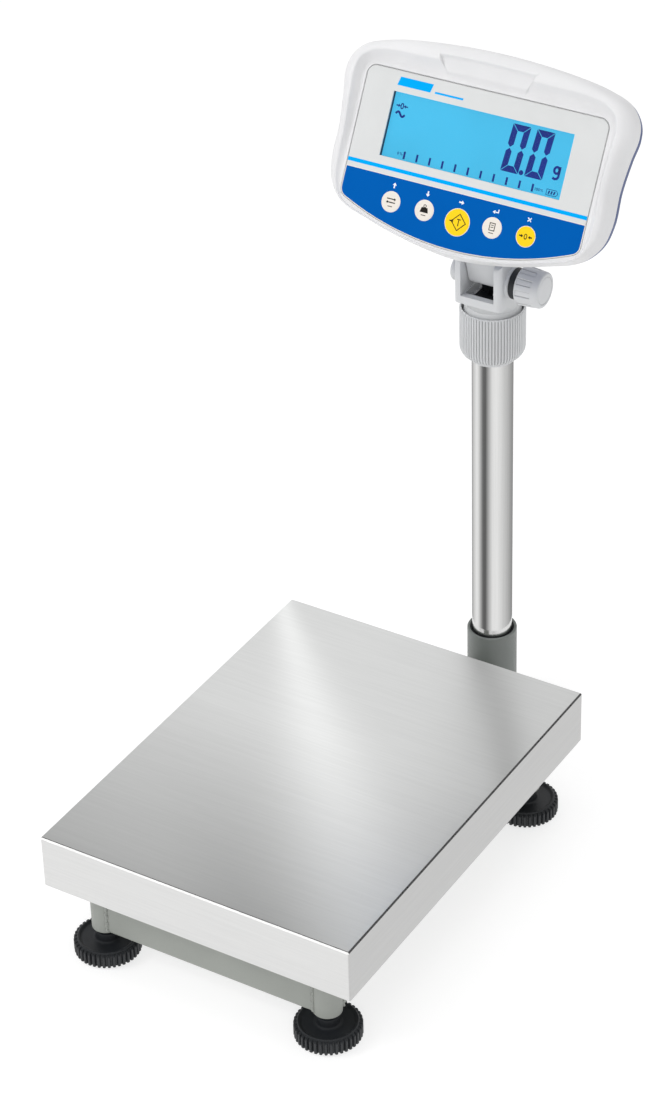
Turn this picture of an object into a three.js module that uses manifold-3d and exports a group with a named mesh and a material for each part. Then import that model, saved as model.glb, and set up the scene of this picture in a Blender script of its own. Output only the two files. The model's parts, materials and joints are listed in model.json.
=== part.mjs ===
// Bench scale: a stainless weighing pan on a tube frame with four levelling feet, and an
// indicator on a column behind it.  Millimetres, +Z up.  z = 0 is the bench, x = 0 is the plane of
// symmetry, the weighing side faces -Y, and the origin is the centre of the footprint.
import * as THREE from 'three';
import { mergeVertices } from 'three/addons/utils/BufferGeometryUtils.js';
import Module from 'manifold-3d';

const wasm = await Module();
wasm.setup();

// ---- driving dimensions ------------------------------------------------------------------
const GAP = 0.3;                        // clearance between pieces that touch

const PAN = { width: 300, depth: 400, top: 125, skirt: 51, sheet: 1.5 };
const COLUMN_BEHIND_PAN = 108.4;        // column axis to the pan's back edge
const REAR_REACH = 38;                  // column axis to the indicator's rearmost edge
const OVERALL_DEPTH = PAN.depth + COLUMN_BEHIND_PAN + REAR_REACH;
const PAN_Y = (PAN.depth - OVERALL_DEPTH) / 2;
const COLUMN_Y = PAN_Y + PAN.depth / 2 + COLUMN_BEHIND_PAN;

const LEG = { x: 110, y: 171, radius: 12.5, bottom: 26, top: 67, bore: 5.8, boreTop: 60 };
const RAIL = { width: 20, bottom: 27, top: 67, wall: 2 };
const BEAM = { width: 50, bottom: 30, top: 50, wall: 2.5 };
const FOOT = { radius: 29, teeth: 36, tooth: 1.9, bottom: 1.2, rim: 13, top: 22, boss: 12 };
const SOLE = { radius: 24, height: 3 };
const STUD = { radius: 5, bottom: 5, top: 46 };
const FOOT_RECESS_TOP = SOLE.height + GAP;

const CELL = { width: 25, length: 150, height: 40, bolt: 3, inset: 11, pitch: 18 };
const SPACER = { width: 25, length: 38, height: 8 };
const PLATE = { width: 250, depth: 344, thickness: 4, corner: 24 };
const PAD = { x: 105, y: 150, radius: 10 };

const SOCKET = { radius: 23, inner: 20.3, bottom: 26, top: 79.6 };
const COLUMN = { radius: 18.5, wall: 1.5, bottom: 34, top: 408.1 };
const BRACKET = { width: 36, bottom: 27, top: 45, wall: 2.5 };
const SCREW = { radius: 3, z: 66 };

const COLLAR = { radius: 29.3, lip: 21, inner: 19.2, well: 27.4, ribs: 24, rib: 0.7,
  bottom: 370, taper: 382, floor: 405, top: 421.5 };
const DISC = { radius: 26.4, spigot: 16.5, cable: 9, spigotBottom: 374 };
const DOME = [[26.4, 417], [24.8, 422.5], [21.5, 427.5], [17, 432], [14, 434]];
const YOKE = { width: 46.6, slot: 32.6, front: -28.5, back: 9, bottom: 432.5, floor: 440,
  top: 477, rearWall: 449, boss: 14, bossOut: 26 };
const WELL = { half: 13, front: -19, back: 4, floor: 416 };      // hollow under the yoke's slot
const PIVOT = { y: -8, z: 454, bolt: 4 };
const KNOB = { radius: 17.6, end: 16, inner: 32.4, outer: 55.8, flutes: 8, flute: 1.3,
  boreDepth: 15 };
const WASHER = { radius: 14 };
const BOLT_HEAD = { radius: 11, out: 34 };
const TONGUE = { width: 31, hub: 9.4 };

const FACE = { ahead: 30.4, height: 590.2, lean: 28.6 };   // window centre, lean of its normal
const SEAM = -12;                       // depth of the joint between the two housing halves
const HEAD = { ridge: 8, back: -45, wall: 2.5, floorTop: -1.5, floorBottom: -3.8 };
const PANEL = { halfWidth: 115.3, top: 46, bottom: -91, arc: 285, corner: 9, thickness: 1.2 };
const WINDOW = { width: 170.6, height: 55.5 };
const KEYS = [
  { name: 'key_mode', x: -65.2, y: -63.7, radius: 8.7, color: 0xe6e0d8 },
  { name: 'key_unit', x: -32.6, y: -63.7, radius: 8.7, color: 0xe6e0d8 },
  { name: 'key_tare', x: 0, y: -66.5, radius: 11.5, color: 0xf5d020 },
  { name: 'key_print', x: 32.6, y: -63.7, radius: 8.7, color: 0xe6e0d8 },
  { name: 'key_zero', x: 64.5, y: -63.7, radius: 8.7, color: 0xf5d020 },
];
const KEY = { bottom: -5, edge: 0.1, crown: 0.4 };
const HOUSING_HOLE = { x: 88, y: 30 };  // half size of the housing's hole behind the window
const DISPLAY = { x: 87, y: 29, back: -13, face: -4.6 };
const BOARD = { x: 95, bottom: -52, top: 20, back: -17.6, face: -16 };
const BATTERY = { x: 42, bottom: 8, top: 42, back: -40.5, face: -24 };
const HATCH = { x: 45, bottom: 5, top: 45, floor: -41, inside: -42 };
const SERIAL = { x: -30, y: -36, flange: [32, 12, -44.5, -40], shell: [18, 8, -49.5, -44] };
const JACK = { x: 40, y: -36, outer: 6.5, bore: 4.4, front: -33, blind: -36, back: -46 };
const ARM_PLATE = { x: 30, bottom: -84, top: -46, thickness: 4.3 };

// Half outline of the indicator at its seam, from the top centre down its right side.
const HEAD_OUTLINE = [[0, 78.4], [60, 75.6], [105, 69], [126, 61.2], [136.3, 49], [138.8, 36],
  [136, 17], [133.6, -10], [134.2, -38], [129.5, -57.5], [115, -73.5], [85, -84], [45, -93.5],
  [0, -98.3]];
// The same stations on the front rim's outer edge, its crest and the foot of its inner wall.
const RIM_OUTLINE = [[0, 70.6], [60, 68.4], [97, 65.6], [116, 60], [126.5, 50.5], [130, 36],
  [128.6, 17], [127, -10], [129, -38], [125.5, -57.5], [113.4, -72.6], [84.2, -82.6], [44.6, -91.6],
  [0, -95.6]];
const CREST_OUTLINE = [[0, 62.6], [60, 62], [97, 60.6], [112, 57], [121, 50], [124.6, 38],
  [123.6, 17], [122.4, -10], [123, -38], [121, -57], [112, -71.8], [83.6, -81.6], [44.2, -90.2],
  [0, -93.6]];
const FLOOR_OUTLINE = [[0, 50], [60, 50], [96, 49.6], [108, 48.6], [115.6, 44.5], [118.6, 34],
  [118.4, 17], [118.2, -10], [118.2, -38], [117.6, -58], [110.5, -71.2], [83, -81], [44, -89.6],
  [0, -93]];
const HEAD_POINTS = 60;
const HEAD_CENTRE = -12;                // height of the point that the outlines are seen from

// ---- materials -----------------------------------------------------------------------------
const finish = (color, roughness, metalness) =>
  () => new THREE.MeshStandardMaterial({ color, roughness, metalness });
const brushed = finish(0xc8cacb, 0.35, 1);
const polished = finish(0xd4d6d8, 0.12, 1);
const aluminium = finish(0xb9bcbe, 0.4, 1);
const zinc = finish(0x9fa3a6, 0.35, 1);
const framePaint = finish(0x979b95, 0.5, 0.1);
const socketPaint = finish(0x6c6f6b, 0.5, 0.1);
const blackPlastic = finish(0x1c1f22, 0.55, 0);
const blackRubber = finish(0x141517, 0.9, 0);
const greyPlastic = finish(0xc4c5c7, 0.5, 0);
const whiteShell = finish(0xe8e8ea, 0.45, 0);
const navyShell = finish(0x2f4a8a, 0.45, 0);
const overlay = finish(0xe2e3e2, 0.35, 0);
const display = finish(0x4cc3f0, 0.3, 0);
const clearPlastic = finish(0xeaf4f8, 0.1, 0);
const circuit = finish(0x1e6b3a, 0.5, 0);
const batteryWrap = finish(0x2b2d33, 0.5, 0);

// ---- geometry helpers ------------------------------------------------------------------------
// A closed triangle mesh with shared vertices, no collapsed triangles and its faces turned out.
function weld(geometry) {
  const bare = geometry.clone();
  for (const name of Object.keys(bare.attributes)) {
    if (name !== 'position') bare.deleteAttribute(name);
  }
  const merged = mergeVertices(bare, 1e-4);
  const index = merged.index.array;
  const kept = [];
  for (let i = 0; i < index.length; i += 3) {
    const [a, b, c] = [index[i], index[i + 1], index[i + 2]];
    if (a !== b && b !== c && c !== a) kept.push(a, b, c);
  }
  merged.setIndex(kept);
  return volume(merged) < 0 ? flipped(merged) : merged;
}

function volume(geometry) {
  const position = geometry.attributes.position;
  const index = geometry.index.array;
  const [a, b, c] = [new THREE.Vector3(), new THREE.Vector3(), new THREE.Vector3()];
  let total = 0;
  for (let i = 0; i < index.length; i += 3) {
    a.fromBufferAttribute(position, index[i]);
    b.fromBufferAttribute(position, index[i + 1]);
    c.fromBufferAttribute(position, index[i + 2]);
    total += a.dot(b.cross(c)) / 6;
  }
  return total;
}

function flipped(geometry) {
  const index = Array.from(geometry.index.array);
  for (let i = 0; i < index.length; i += 3) {
    [index[i], index[i + 1]] = [index[i + 1], index[i]];
  }
  geometry.setIndex(index);
  return geometry;
}

function toSolid(geometry) {
  const welded = weld(geometry);
  return new wasm.Manifold(new wasm.Mesh({
    numProp: 3,
    vertProperties: new Float32Array(welded.attributes.position.array),
    triVerts: new Uint32Array(welded.index.array),
  }));
}

function toGeometry(solid) {
  const mesh = solid.getMesh();
  const geometry = new THREE.BufferGeometry();
  geometry.setAttribute('position', new THREE.BufferAttribute(mesh.vertProperties, 3));
  geometry.setIndex(new THREE.BufferAttribute(mesh.triVerts, 1));
  return geometry;
}

// The first geometry with the others joined to it, or cut from it.
const join = (first, ...rest) =>
  toGeometry(rest.reduce((body, part) => body.add(toSolid(part)), toSolid(first)));
const cut = (first, ...rest) =>
  toGeometry(rest.reduce((body, part) => body.subtract(toSolid(part)), toSolid(first)));

// A box given by its lowest and highest corners.
function block(low, high) {
  const size = high.map((value, i) => value - low[i]);
  const middle = high.map((value, i) => (value + low[i]) / 2);
  return new THREE.BoxGeometry(...size).translate(...middle);
}

// A turned piece about the Z axis, from [radius, z] points.
function turned(profile, segments = 32) {
  const points = profile.map(([radius, z]) => new THREE.Vector2(radius, z));
  return new THREE.LatheGeometry(points, segments).rotateX(Math.PI / 2);
}

const rod = (radius, z0, z1, segments = 24) =>
  turned([[0, z0], [radius, z0], [radius, z1], [0, z1]], segments);
const tube = (outer, inner, z0, z1, segments = 32) =>
  turned([[inner, z0], [outer, z0], [outer, z1], [inner, z1], [inner, z0]], segments);
const alongX = (geometry) => geometry.rotateY(Math.PI / 2);
const alongY = (geometry) => geometry.rotateX(-Math.PI / 2);

// A shape in the YZ plane, extruded across X.
function slab(points, width) {
  const shape = new THREE.Shape(points.map(([y, z]) => new THREE.Vector2(y, z)));
  const geometry = new THREE.ExtrudeGeometry(shape, { depth: width, bevelEnabled: false });
  const frame = new THREE.Matrix4().makeBasis(
    new THREE.Vector3(0, 1, 0), new THREE.Vector3(0, 0, 1), new THREE.Vector3(1, 0, 0));
  return geometry.applyMatrix4(frame).translate(-width / 2, 0, 0);
}

// A rectangular tube along X or Y, open at both ends.
function boxTube(low, high, wall, axis) {
  const inner = [low.map((v) => v + wall), high.map((v) => v - wall)];
  inner[0][axis] = low[axis] - 1;
  inner[1][axis] = high[axis] + 1;
  return cut(block(low, high), block(...inner));
}

// A solid through a stack of equal rings.  A fan about the middle of the ring closes each end.
function loft(rings) {
  const count = rings[0].length;
  const position = rings.flat().flat();
  const index = [];
  for (let r = 0; r + 1 < rings.length; r += 1) {
    for (let i = 0; i < count; i += 1) {
      const [a, b] = [r * count + i, r * count + (i + 1) % count];
      index.push(a, b, b + count, a, b + count, a + count);
    }
  }
  const lastRing = (rings.length - 1) * count;
  for (const [first, turn] of [[0, -1], [lastRing, 1]]) {
    const ring = rings[first / count];
    const middle = position.length / 3;
    for (const axis of [0, 1, 2]) {
      position.push(ring.reduce((total, point) => total + point[axis], 0) / count);
    }
    for (let i = 0; i < count; i += 1) {
      const pair = [first + i, first + (i + 1) % count];
      index.push(middle, ...(turn > 0 ? pair : pair.reverse()));
    }
  }
  const geometry = new THREE.BufferGeometry();
  geometry.setAttribute('position', new THREE.Float32BufferAttribute(position, 3));
  geometry.setIndex(index);
  return geometry;
}

// ---- indicator outlines ------------------------------------------------------------------------
// Closed smooth curve through a half outline and its mirror image.
function outlineCurve(half) {
  const left = half.slice(1, -1).reverse().map(([x, y]) => [-x, y]);
  const all = [...half, ...left].map(([x, y]) => new THREE.Vector3(x, y, 0));
  return new THREE.CatmullRomCurve3(all, true, 'centripetal');
}

function panelCurve(margin) {
  const half = PANEL.halfWidth + margin;
  const top = PANEL.top + margin;
  const corner = PANEL.corner + margin;
  const arc = PANEL.arc + margin;
  const centre = PANEL.bottom + PANEL.arc;
  const inset = half - corner;
  const low = centre - Math.sqrt((arc - corner) ** 2 - inset ** 2);
  const turn = Math.asin(inset / (arc - corner));
  const shape = new THREE.Shape();
  shape.absarc(inset, top - corner, corner, Math.PI / 2, 0, true);
  shape.absarc(inset, low, corner, 0, turn - Math.PI / 2, true);
  shape.absarc(0, centre, arc, turn - Math.PI / 2, -turn - Math.PI / 2, true);
  shape.absarc(-inset, low, corner, -turn - Math.PI / 2, -Math.PI, true);
  shape.absarc(-inset, top - corner, corner, Math.PI, Math.PI / 2, true);
  return shape;
}

// Where rays from the middle of the indicator, at the given angles, meet a closed outline.
function meetRays(outline, angles) {
  return angles.map((angle) => {
    const [dx, dy] = [Math.cos(angle), Math.sin(angle)];
    let reach = 0;
    outline.forEach((p, i) => {
      const q = outline[(i + 1) % outline.length];
      const [px, py] = [p.x, p.y - HEAD_CENTRE];
      const [ex, ey] = [q.x - p.x, q.y - p.y];
      const bottom = dx * ey - dy * ex;
      if (Math.abs(bottom) < 1e-9) return;
      const along = (px * ey - py * ex) / bottom;
      const share = (px * dy - py * dx) / bottom;
      if (along > 0 && share >= 0 && share <= 1) reach = Math.max(reach, along);
    });
    return [dx * reach, dy * reach + HEAD_CENTRE];
  });
}

const headAngles = outlineCurve(HEAD_OUTLINE).getSpacedPoints(HEAD_POINTS).slice(0, HEAD_POINTS)
  .map((p) => Math.atan2(p.y - HEAD_CENTRE, p.x));
const [seamRing, rimRing, crestRing, floorRing] = [HEAD_OUTLINE, RIM_OUTLINE, CREST_OUTLINE,
  FLOOR_OUTLINE].map((half) => meetRays(outlineCurve(half).getPoints(400), headAngles));

const atDepth = (ring, depth) => ring.map(([x, y]) => [x, y, depth]);
// A ring drawn in towards the middle by a distance at its sides and its top.
function shrunk(ring, inset) {
  const [across, up] = [1 - inset / 136, 1 - inset / 88];
  return ring.map(([x, y]) => [x * across, HEAD_CENTRE + (y - HEAD_CENTRE) * up]);
}
// The rim stands high beside the window and falls almost flush at the bottom.
function rimDepth([x, y], drop) {
  const share = THREE.MathUtils.smoothstep(y, -80, 30);
  return [x, y, THREE.MathUtils.lerp(2.2, HEAD.ridge, share) - drop];
}

// ---- indicator pieces -------------------------------------------------------------------------
function frontHousing() {
  const panelHole = meetRays(panelCurve(GAP).getPoints(12), headAngles);
  const shell = loft([
    atDepth(shrunk(seamRing, HEAD.wall), SEAM),
    atDepth(seamRing, SEAM),
    shrunk(seamRing, 1.2).map((p) => rimDepth(p, 9)),
    rimRing.map((p) => rimDepth(p, 1.6)),
    crestRing.map((p) => rimDepth(p, 0)),
    atDepth(floorRing, 0),
    atDepth(panelHole, 0),
    atDepth(panelHole, HEAD.floorTop),
  ]);
  const hollow = loft([
    atDepth(shrunk(seamRing, HEAD.wall), SEAM - 1),
    atDepth(shrunk(seamRing, HEAD.wall), SEAM + 1),
    atDepth(shrunk(floorRing, 3), HEAD.floorBottom),
  ]);
  const { x, y } = HOUSING_HOLE;
  const window = block([-x, -y, -9], [x, y, 3]);
  const keyHoles = KEYS.map((key) => rod(key.radius + 0.5, -9, 3, 16).translate(key.x, key.y, 0));
  return cut(shell, hollow, window, ...keyHoles);
}

function rearHousing() {
  const shell = loft([
    atDepth(shrunk(seamRing, 0.8), SEAM - GAP),
    atDepth(shrunk(seamRing, 2.5), -20),
    atDepth(shrunk(seamRing, 9), -36),
    atDepth(shrunk(seamRing, 14), -43),
    atDepth(shrunk(seamRing, 19), HEAD.back),
  ]);
  const hollow = loft([
    atDepth(shrunk(seamRing, 0.8 + HEAD.wall), SEAM + 1),
    atDepth(shrunk(seamRing, 2.5 + HEAD.wall), -20),
    atDepth(shrunk(seamRing, 9 + HEAD.wall), -35),
    atDepth(shrunk(seamRing, 21), HEAD.back + HEAD.wall),
  ]);
  const hatch = block([-HATCH.x - GAP, HATCH.bottom - GAP, HEAD.back - 1],
    [HATCH.x + GAP, HATCH.top + GAP, HATCH.floor]);
  const [w, h] = SERIAL.flange.map((size) => size / 2 + GAP);
  const serialHole = block([SERIAL.x - w, SERIAL.y - h, HEAD.back - 1],
    [SERIAL.x + w, SERIAL.y + h, JACK.front + 3]);
  const powerHole = rod(JACK.outer + GAP, HEAD.back - 1, JACK.front + 3)
    .translate(JACK.x, JACK.y, 0);
  return cut(shell, hollow, hatch, serialHole, powerHole);
}

function frontPanel() {
  const outline = meetRays(panelCurve(0).getPoints(12), headAngles);
  const sheet = loft([atDepth(outline, -PANEL.thickness), atDepth(outline, 0)]);
  const [w, h] = [WINDOW.width / 2, WINDOW.height / 2];
  const keyHoles = KEYS.map((key) => rod(key.radius + GAP + 0.15, -9, 3, 16).translate(key.x, key.y, 0));
  return cut(sheet, block([-w, -h, -9], [w, h, 3]), ...keyHoles);
}

function keyCap(key) {
  return turned([[0, KEY.bottom], [key.radius, KEY.bottom], [key.radius, KEY.edge],
    [key.radius - 0.8, KEY.edge + 0.2], [0, KEY.crown]], 16).translate(key.x, key.y, 0);
}

function windowLens() {
  const [w, h] = [WINDOW.width / 2 - GAP, WINDOW.height / 2 - GAP];
  return block([-w, -h, -PANEL.thickness], [w, h, -0.3]);
}

const displayModule = () => block([-DISPLAY.x, -DISPLAY.y, DISPLAY.back],
  [DISPLAY.x, DISPLAY.y, DISPLAY.face]);
const mainBoard = () => block([-BOARD.x, BOARD.bottom, BOARD.back], [BOARD.x, BOARD.top, BOARD.face]);
const batteryPack = () => block([-BATTERY.x, BATTERY.bottom, BATTERY.back],
  [BATTERY.x, BATTERY.top, BATTERY.face]);
const batteryCover = () => block([-HATCH.x, HATCH.bottom, HEAD.back],
  [HATCH.x, HATCH.top, HATCH.inside]);

function serialPort() {
  const [flange, shell] = [SERIAL.flange, SERIAL.shell].map(([width, height, back, front]) =>
    block([-width / 2, -height / 2, back], [width / 2, height / 2, front]));
  return join(flange, shell).translate(SERIAL.x, SERIAL.y, 0);
}

// A round barrel jack, blind towards the inside of the housing.
function powerSocket() {
  const { outer, bore, front, blind, back } = JACK;
  return turned([[0, front], [outer, front], [outer, back], [bore, back], [bore, blind], [0, blind]],
    20).translate(JACK.x, JACK.y, 0);
}

// The bent arm between the housing's back and the pivot in the yoke.
function tiltBracket(toHead) {
  const plate = block([-ARM_PLATE.x, ARM_PLATE.bottom, HEAD.back - GAP - ARM_PLATE.thickness],
    [ARM_PLATE.x, ARM_PLATE.top, HEAD.back - GAP]);
  const [y, z, hub] = [PIVOT.y, PIVOT.z, TONGUE.hub];
  const neck = slab([[y - hub, z - 4], [y - 5, z - hub], [y + 4, z - hub], [y + hub, z - 4],
    [y + hub, z + 4], [-10, 529], [-14.4, 523], [-29.7, 496], [y - hub, z + 5]], TONGUE.width);
  const hole = alongX(rod(PIVOT.bolt + GAP, -20, 20)).translate(0, y, z);
  return cut(join(plate.applyMatrix4(toHead), neck), hole);
}

// ---- column pieces ----------------------------------------------------------------------------
function yoke() {
  const { radius, spigot, cable, spigotBottom } = DISC;
  const base = turned([[0, spigotBottom], [spigot, spigotBottom], [spigot, COLUMN.top + GAP],
    [radius, COLUMN.top + GAP], ...DOME, [0, DOME.at(-1)[1]]], 32);
  const { front, back, top, bottom } = YOKE;
  const cheeks = slab([[front, bottom], [back, bottom], [back, top - 12], [back - 3.5, top - 4],
    [back - 12, top], [front + 7, top], [front + 2, top - 2], [front, top - 7]], YOKE.width);
  const slot = block([-YOKE.slot / 2, front - 1, YOKE.floor], [YOKE.slot / 2, back + 1, top + 1]);
  const rearWall = block([-YOKE.slot / 2 - 1, back - 4, bottom],
    [YOKE.slot / 2 + 1, back, YOKE.rearWall]);
  const boss = alongX(rod(YOKE.boss, -YOKE.bossOut, YOKE.bossOut, 20)).translate(0, PIVOT.y, PIVOT.z);
  const body = join(base, cut(join(cheeks, boss), slot), rearWall);
  const bolt = alongX(rod(PIVOT.bolt + GAP, -30, 30, 16)).translate(0, PIVOT.y, PIVOT.z);
  const well = block([-WELL.half, WELL.front, WELL.floor], [WELL.half, WELL.back, YOKE.floor + 1]);
  return cut(body, bolt, well, rod(cable, spigotBottom - 1, YOKE.floor + 1, 20));
}

function tiltBolt() {
  const shank = rod(PIVOT.bolt, -YOKE.bossOut - 1, KNOB.inner + KNOB.boreDepth - 2);
  const head = turned([[0, -BOLT_HEAD.out], [BOLT_HEAD.radius - 2, -BOLT_HEAD.out],
    [BOLT_HEAD.radius, -BOLT_HEAD.out + 1.5], [BOLT_HEAD.radius, -YOKE.bossOut - GAP],
    [0, -YOKE.bossOut - GAP]], 24);
  return alongX(join(shank, head));
}

const knobWasher = () => alongX(tube(WASHER.radius, PIVOT.bolt + GAP, YOKE.bossOut + GAP,
  KNOB.inner - GAP, 24));

function tiltKnob() {
  const ring = (radius, x) => Array.from({ length: KNOB.flutes * 6 }, (_, i) => {
    const angle = (i / (KNOB.flutes * 6)) * 2 * Math.PI;
    const r = radius - KNOB.flute * Math.max(0, Math.cos(KNOB.flutes * angle));
    return [r * Math.cos(angle), r * Math.sin(angle), x];
  });
  const grip = loft([ring(KNOB.radius - 1, KNOB.inner), ring(KNOB.radius, KNOB.inner + 2),
    ring(KNOB.end + 0.6, KNOB.outer - 1.5), ring(KNOB.end - 1, KNOB.outer)]);
  const bore = rod(PIVOT.bolt + GAP, KNOB.inner - 1, KNOB.inner + KNOB.boreDepth);
  return alongX(cut(grip, bore));
}

// The knurled ring nut that clamps the yoke's disc on the top of the column.
function collar() {
  const { radius, rib, ribs, lip, inner, well, bottom, taper, floor, top } = COLLAR;
  const ring = (r, z, depth = 0) => Array.from({ length: ribs * 2 }, (_, i) => {
    const angle = (i / (ribs * 2)) * 2 * Math.PI;
    const reach = r - (i % 2) * depth;
    return [reach * Math.cos(angle), reach * Math.sin(angle), z];
  });
  const shell = loft([ring(lip, bottom), ring(radius, taper, rib), ring(radius, top - 1, rib),
    ring(radius - 0.9, top)]);
  return cut(shell, rod(inner, bottom - 1, top, 28), rod(well, floor, top + 1, 28));
}

const screwHole = () => alongY(rod(SCREW.radius + GAP, 10, 30, 12)).translate(0, 0, SCREW.z);
const column = () => cut(tube(COLUMN.radius, COLUMN.radius - COLUMN.wall, COLUMN.bottom,
  COLUMN.top, 28), screwHole());
const columnSocket = () => cut(tube(SOCKET.radius, SOCKET.inner, SOCKET.bottom, SOCKET.top, 28),
  screwHole());
const columnBush = () => cut(tube(SOCKET.inner - GAP, COLUMN.radius + GAP, COLUMN.bottom,
  SOCKET.top - 1, 28), screwHole());

function socketScrew() {
  const shank = rod(SCREW.radius, COLUMN.radius - 5, SOCKET.radius + 1, 16);
  const head = rod(5.5, SOCKET.radius + GAP, SOCKET.radius + 4.3, 6);
  return alongY(join(shank, head)).translate(0, 0, SCREW.z);
}

// Welded arm from the back rail to the socket, cut round to meet the socket.
function columnBracket() {
  const start = PAN_Y + LEG.y + RAIL.width / 2 + GAP - COLUMN_Y;
  const arm = boxTube([-BRACKET.width / 2, start, BRACKET.bottom],
    [BRACKET.width / 2, -SOCKET.radius / 2, BRACKET.top], BRACKET.wall, 1);
  return cut(arm, rod(SOCKET.radius + GAP, 0, 200, 28));
}

// ---- platform pieces ----------------------------------------------------------------------------
function weighingPan() {
  const [x, y, wall] = [PAN.width / 2, PAN.depth / 2, PAN.sheet];
  const shell = block([-x, -y, PAN.top - PAN.skirt], [x, y, PAN.top]);
  const inside = block([-x + wall, -y + wall, 0], [x - wall, y - wall, PAN.top - wall]);
  return cut(shell, inside);
}

const legPost = () => cut(rod(LEG.radius, LEG.bottom, LEG.top, 24),
  rod(LEG.bore, 0, LEG.boreTop, 16));

// A rail between two posts, its ends cut round to meet them.
function rail(acrossX) {
  const reach = (acrossX ? LEG.x : LEG.y) - LEG.radius + 2;
  const half = RAIL.width / 2;
  const low = acrossX ? [-reach, -half, RAIL.bottom] : [-half, -reach, RAIL.bottom];
  const high = acrossX ? [reach, half, RAIL.top] : [half, reach, RAIL.top];
  const posts = [-1, 1].map((side) => rod(LEG.radius + GAP, 0, 100, 24)
    .translate(acrossX ? side * LEG.x : 0, acrossX ? 0 : side * LEG.y, 0));
  return cut(boxTube(low, high, RAIL.wall, acrossX ? 0 : 1), ...posts);
}

// Bolt positions along Y at one end of the load cell: side is -1 at the front, 1 at the back.
const boltRow = (side) => [0, 1].map((i) =>
  side * (CELL.length / 2 - CELL.inset - i * CELL.pitch));
const boltHole = (y, z0, z1) => rod(CELL.bolt + GAP, z0, z1, 12).translate(0, y, 0);

const CELL_BOTTOM = BEAM.top + GAP + SPACER.height + GAP;
const CELL_TOP = CELL_BOTTOM + CELL.height;
const PLATE_BOTTOM = CELL_TOP + GAP + SPACER.height + GAP;
const PLATE_TOP = PLATE_BOTTOM + PLATE.thickness;

function centreBeam() {
  const reach = LEG.y - RAIL.width / 2 - GAP;
  const beam = boxTube([-BEAM.width / 2, -reach, BEAM.bottom], [BEAM.width / 2, reach, BEAM.top],
    BEAM.wall, 1);
  return cut(beam, ...boltRow(-1).map((y) => boltHole(y, 0, 100)));
}

function loadCell() {
  const [w, l] = [CELL.width / 2, CELL.length / 2];
  const body = block([-w, -l, CELL_BOTTOM], [w, l, CELL_TOP]);
  const middle = (CELL_BOTTOM + CELL_TOP) / 2;
  const eyes = [-1, 1].map((side) => alongX(rod(13, -w - 1, w + 1, 24))
    .translate(0, side * 16, middle));
  const bridge = block([-w - 1, -16, middle - 5], [w + 1, 16, middle + 5]);
  const low = boltRow(-1).map((y) => boltHole(y, 0, CELL_BOTTOM + 18));
  const high = boltRow(1).map((y) => boltHole(y, CELL_TOP - 18, 200));
  return cut(body, ...eyes, bridge, ...low, ...high);
}

function cellSpacer(side) {
  const z0 = side < 0 ? BEAM.top + GAP : CELL_TOP + GAP;
  const y = side * (CELL.length / 2 - SPACER.length / 2);
  const body = block([-SPACER.width / 2, y - SPACER.length / 2, z0],
    [SPACER.width / 2, y + SPACER.length / 2, z0 + SPACER.height]);
  return cut(body, ...boltRow(side).map((row) => boltHole(row, 0, 200)));
}

function cellBolt(side) {
  const [face, tip] = side < 0
    ? [BEAM.bottom - GAP, CELL_BOTTOM + 16] : [PLATE_TOP + GAP, CELL_TOP - 16];
  const head = rod(5.8, Math.min(face, face + side * 4), Math.max(face, face + side * 4), 6);
  return join(head, rod(CELL.bolt, Math.min(face, tip), Math.max(face, tip), 12));
}

function carrierPlate() {
  const [x, y, corner] = [PLATE.width / 2, PLATE.depth / 2, PLATE.corner];
  const shape = new THREE.Shape([[x - corner, -y], [x, -y + corner], [x, y - corner],
    [x - corner, y], [-x + corner, y], [-x, y - corner], [-x, -y + corner], [-x + corner, -y]]
    .map(([px, py]) => new THREE.Vector2(px, py)));
  const plate = new THREE.ExtrudeGeometry(shape, { depth: PLATE.thickness, bevelEnabled: false })
    .translate(0, 0, PLATE_BOTTOM);
  return cut(plate, ...boltRow(1).map((row) => boltHole(row, 0, 200)));
}

const panPad = () => rod(PAD.radius, PLATE_TOP + GAP, PAN.top - PAN.sheet - GAP, 16);

// A toothed hand wheel with a boss on top and a recess below for the sole.
function footWheel() {
  const count = FOOT.teeth * 2;
  const ring = (radius, z, tooth) => Array.from({ length: count }, (_, i) => {
    const angle = (i / count) * 2 * Math.PI;
    const reach = radius - (i % 2) * tooth;
    return [reach * Math.cos(angle), reach * Math.sin(angle), z];
  });
  const wheel = loft([ring(FOOT.radius, FOOT.bottom, FOOT.tooth),
    ring(FOOT.radius, FOOT.rim, FOOT.tooth), ring(FOOT.radius - 3.5, FOOT.rim + 2.6, 0)]);
  const boss = rod(FOOT.boss, FOOT.rim, FOOT.top, 20);
  const recess = rod(SOLE.radius + GAP, 0, FOOT_RECESS_TOP, 24);
  return cut(join(wheel, boss), recess, rod(STUD.radius + GAP, STUD.bottom - GAP, 60, 16));
}

const footStud = () => rod(STUD.radius, STUD.bottom, STUD.top, 16);
const footSole = () => turned([[0, 0], [SOLE.radius - 1, 0], [SOLE.radius, 1],
  [SOLE.radius, SOLE.height], [0, SOLE.height]], 24);

// ---- assembly ----------------------------------------------------------------------------------
function piece(name, geometry, material) {
  const mesh = new THREE.Mesh(weld(geometry), material());
  mesh.name = name;
  return mesh;
}

const scale = new THREE.Group();

const platform = new THREE.Group();
platform.position.y = PAN_Y;
scale.add(platform);
platform.add(piece('weighing_pan', weighingPan(), brushed));
platform.add(piece('carrier_plate', carrierPlate(), aluminium));
platform.add(piece('load_cell', loadCell(), aluminium));
platform.add(piece('cell_spacer_lower', cellSpacer(-1), zinc));
platform.add(piece('cell_spacer_upper', cellSpacer(1), zinc));
platform.add(piece('centre_beam', centreBeam(), framePaint));

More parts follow.
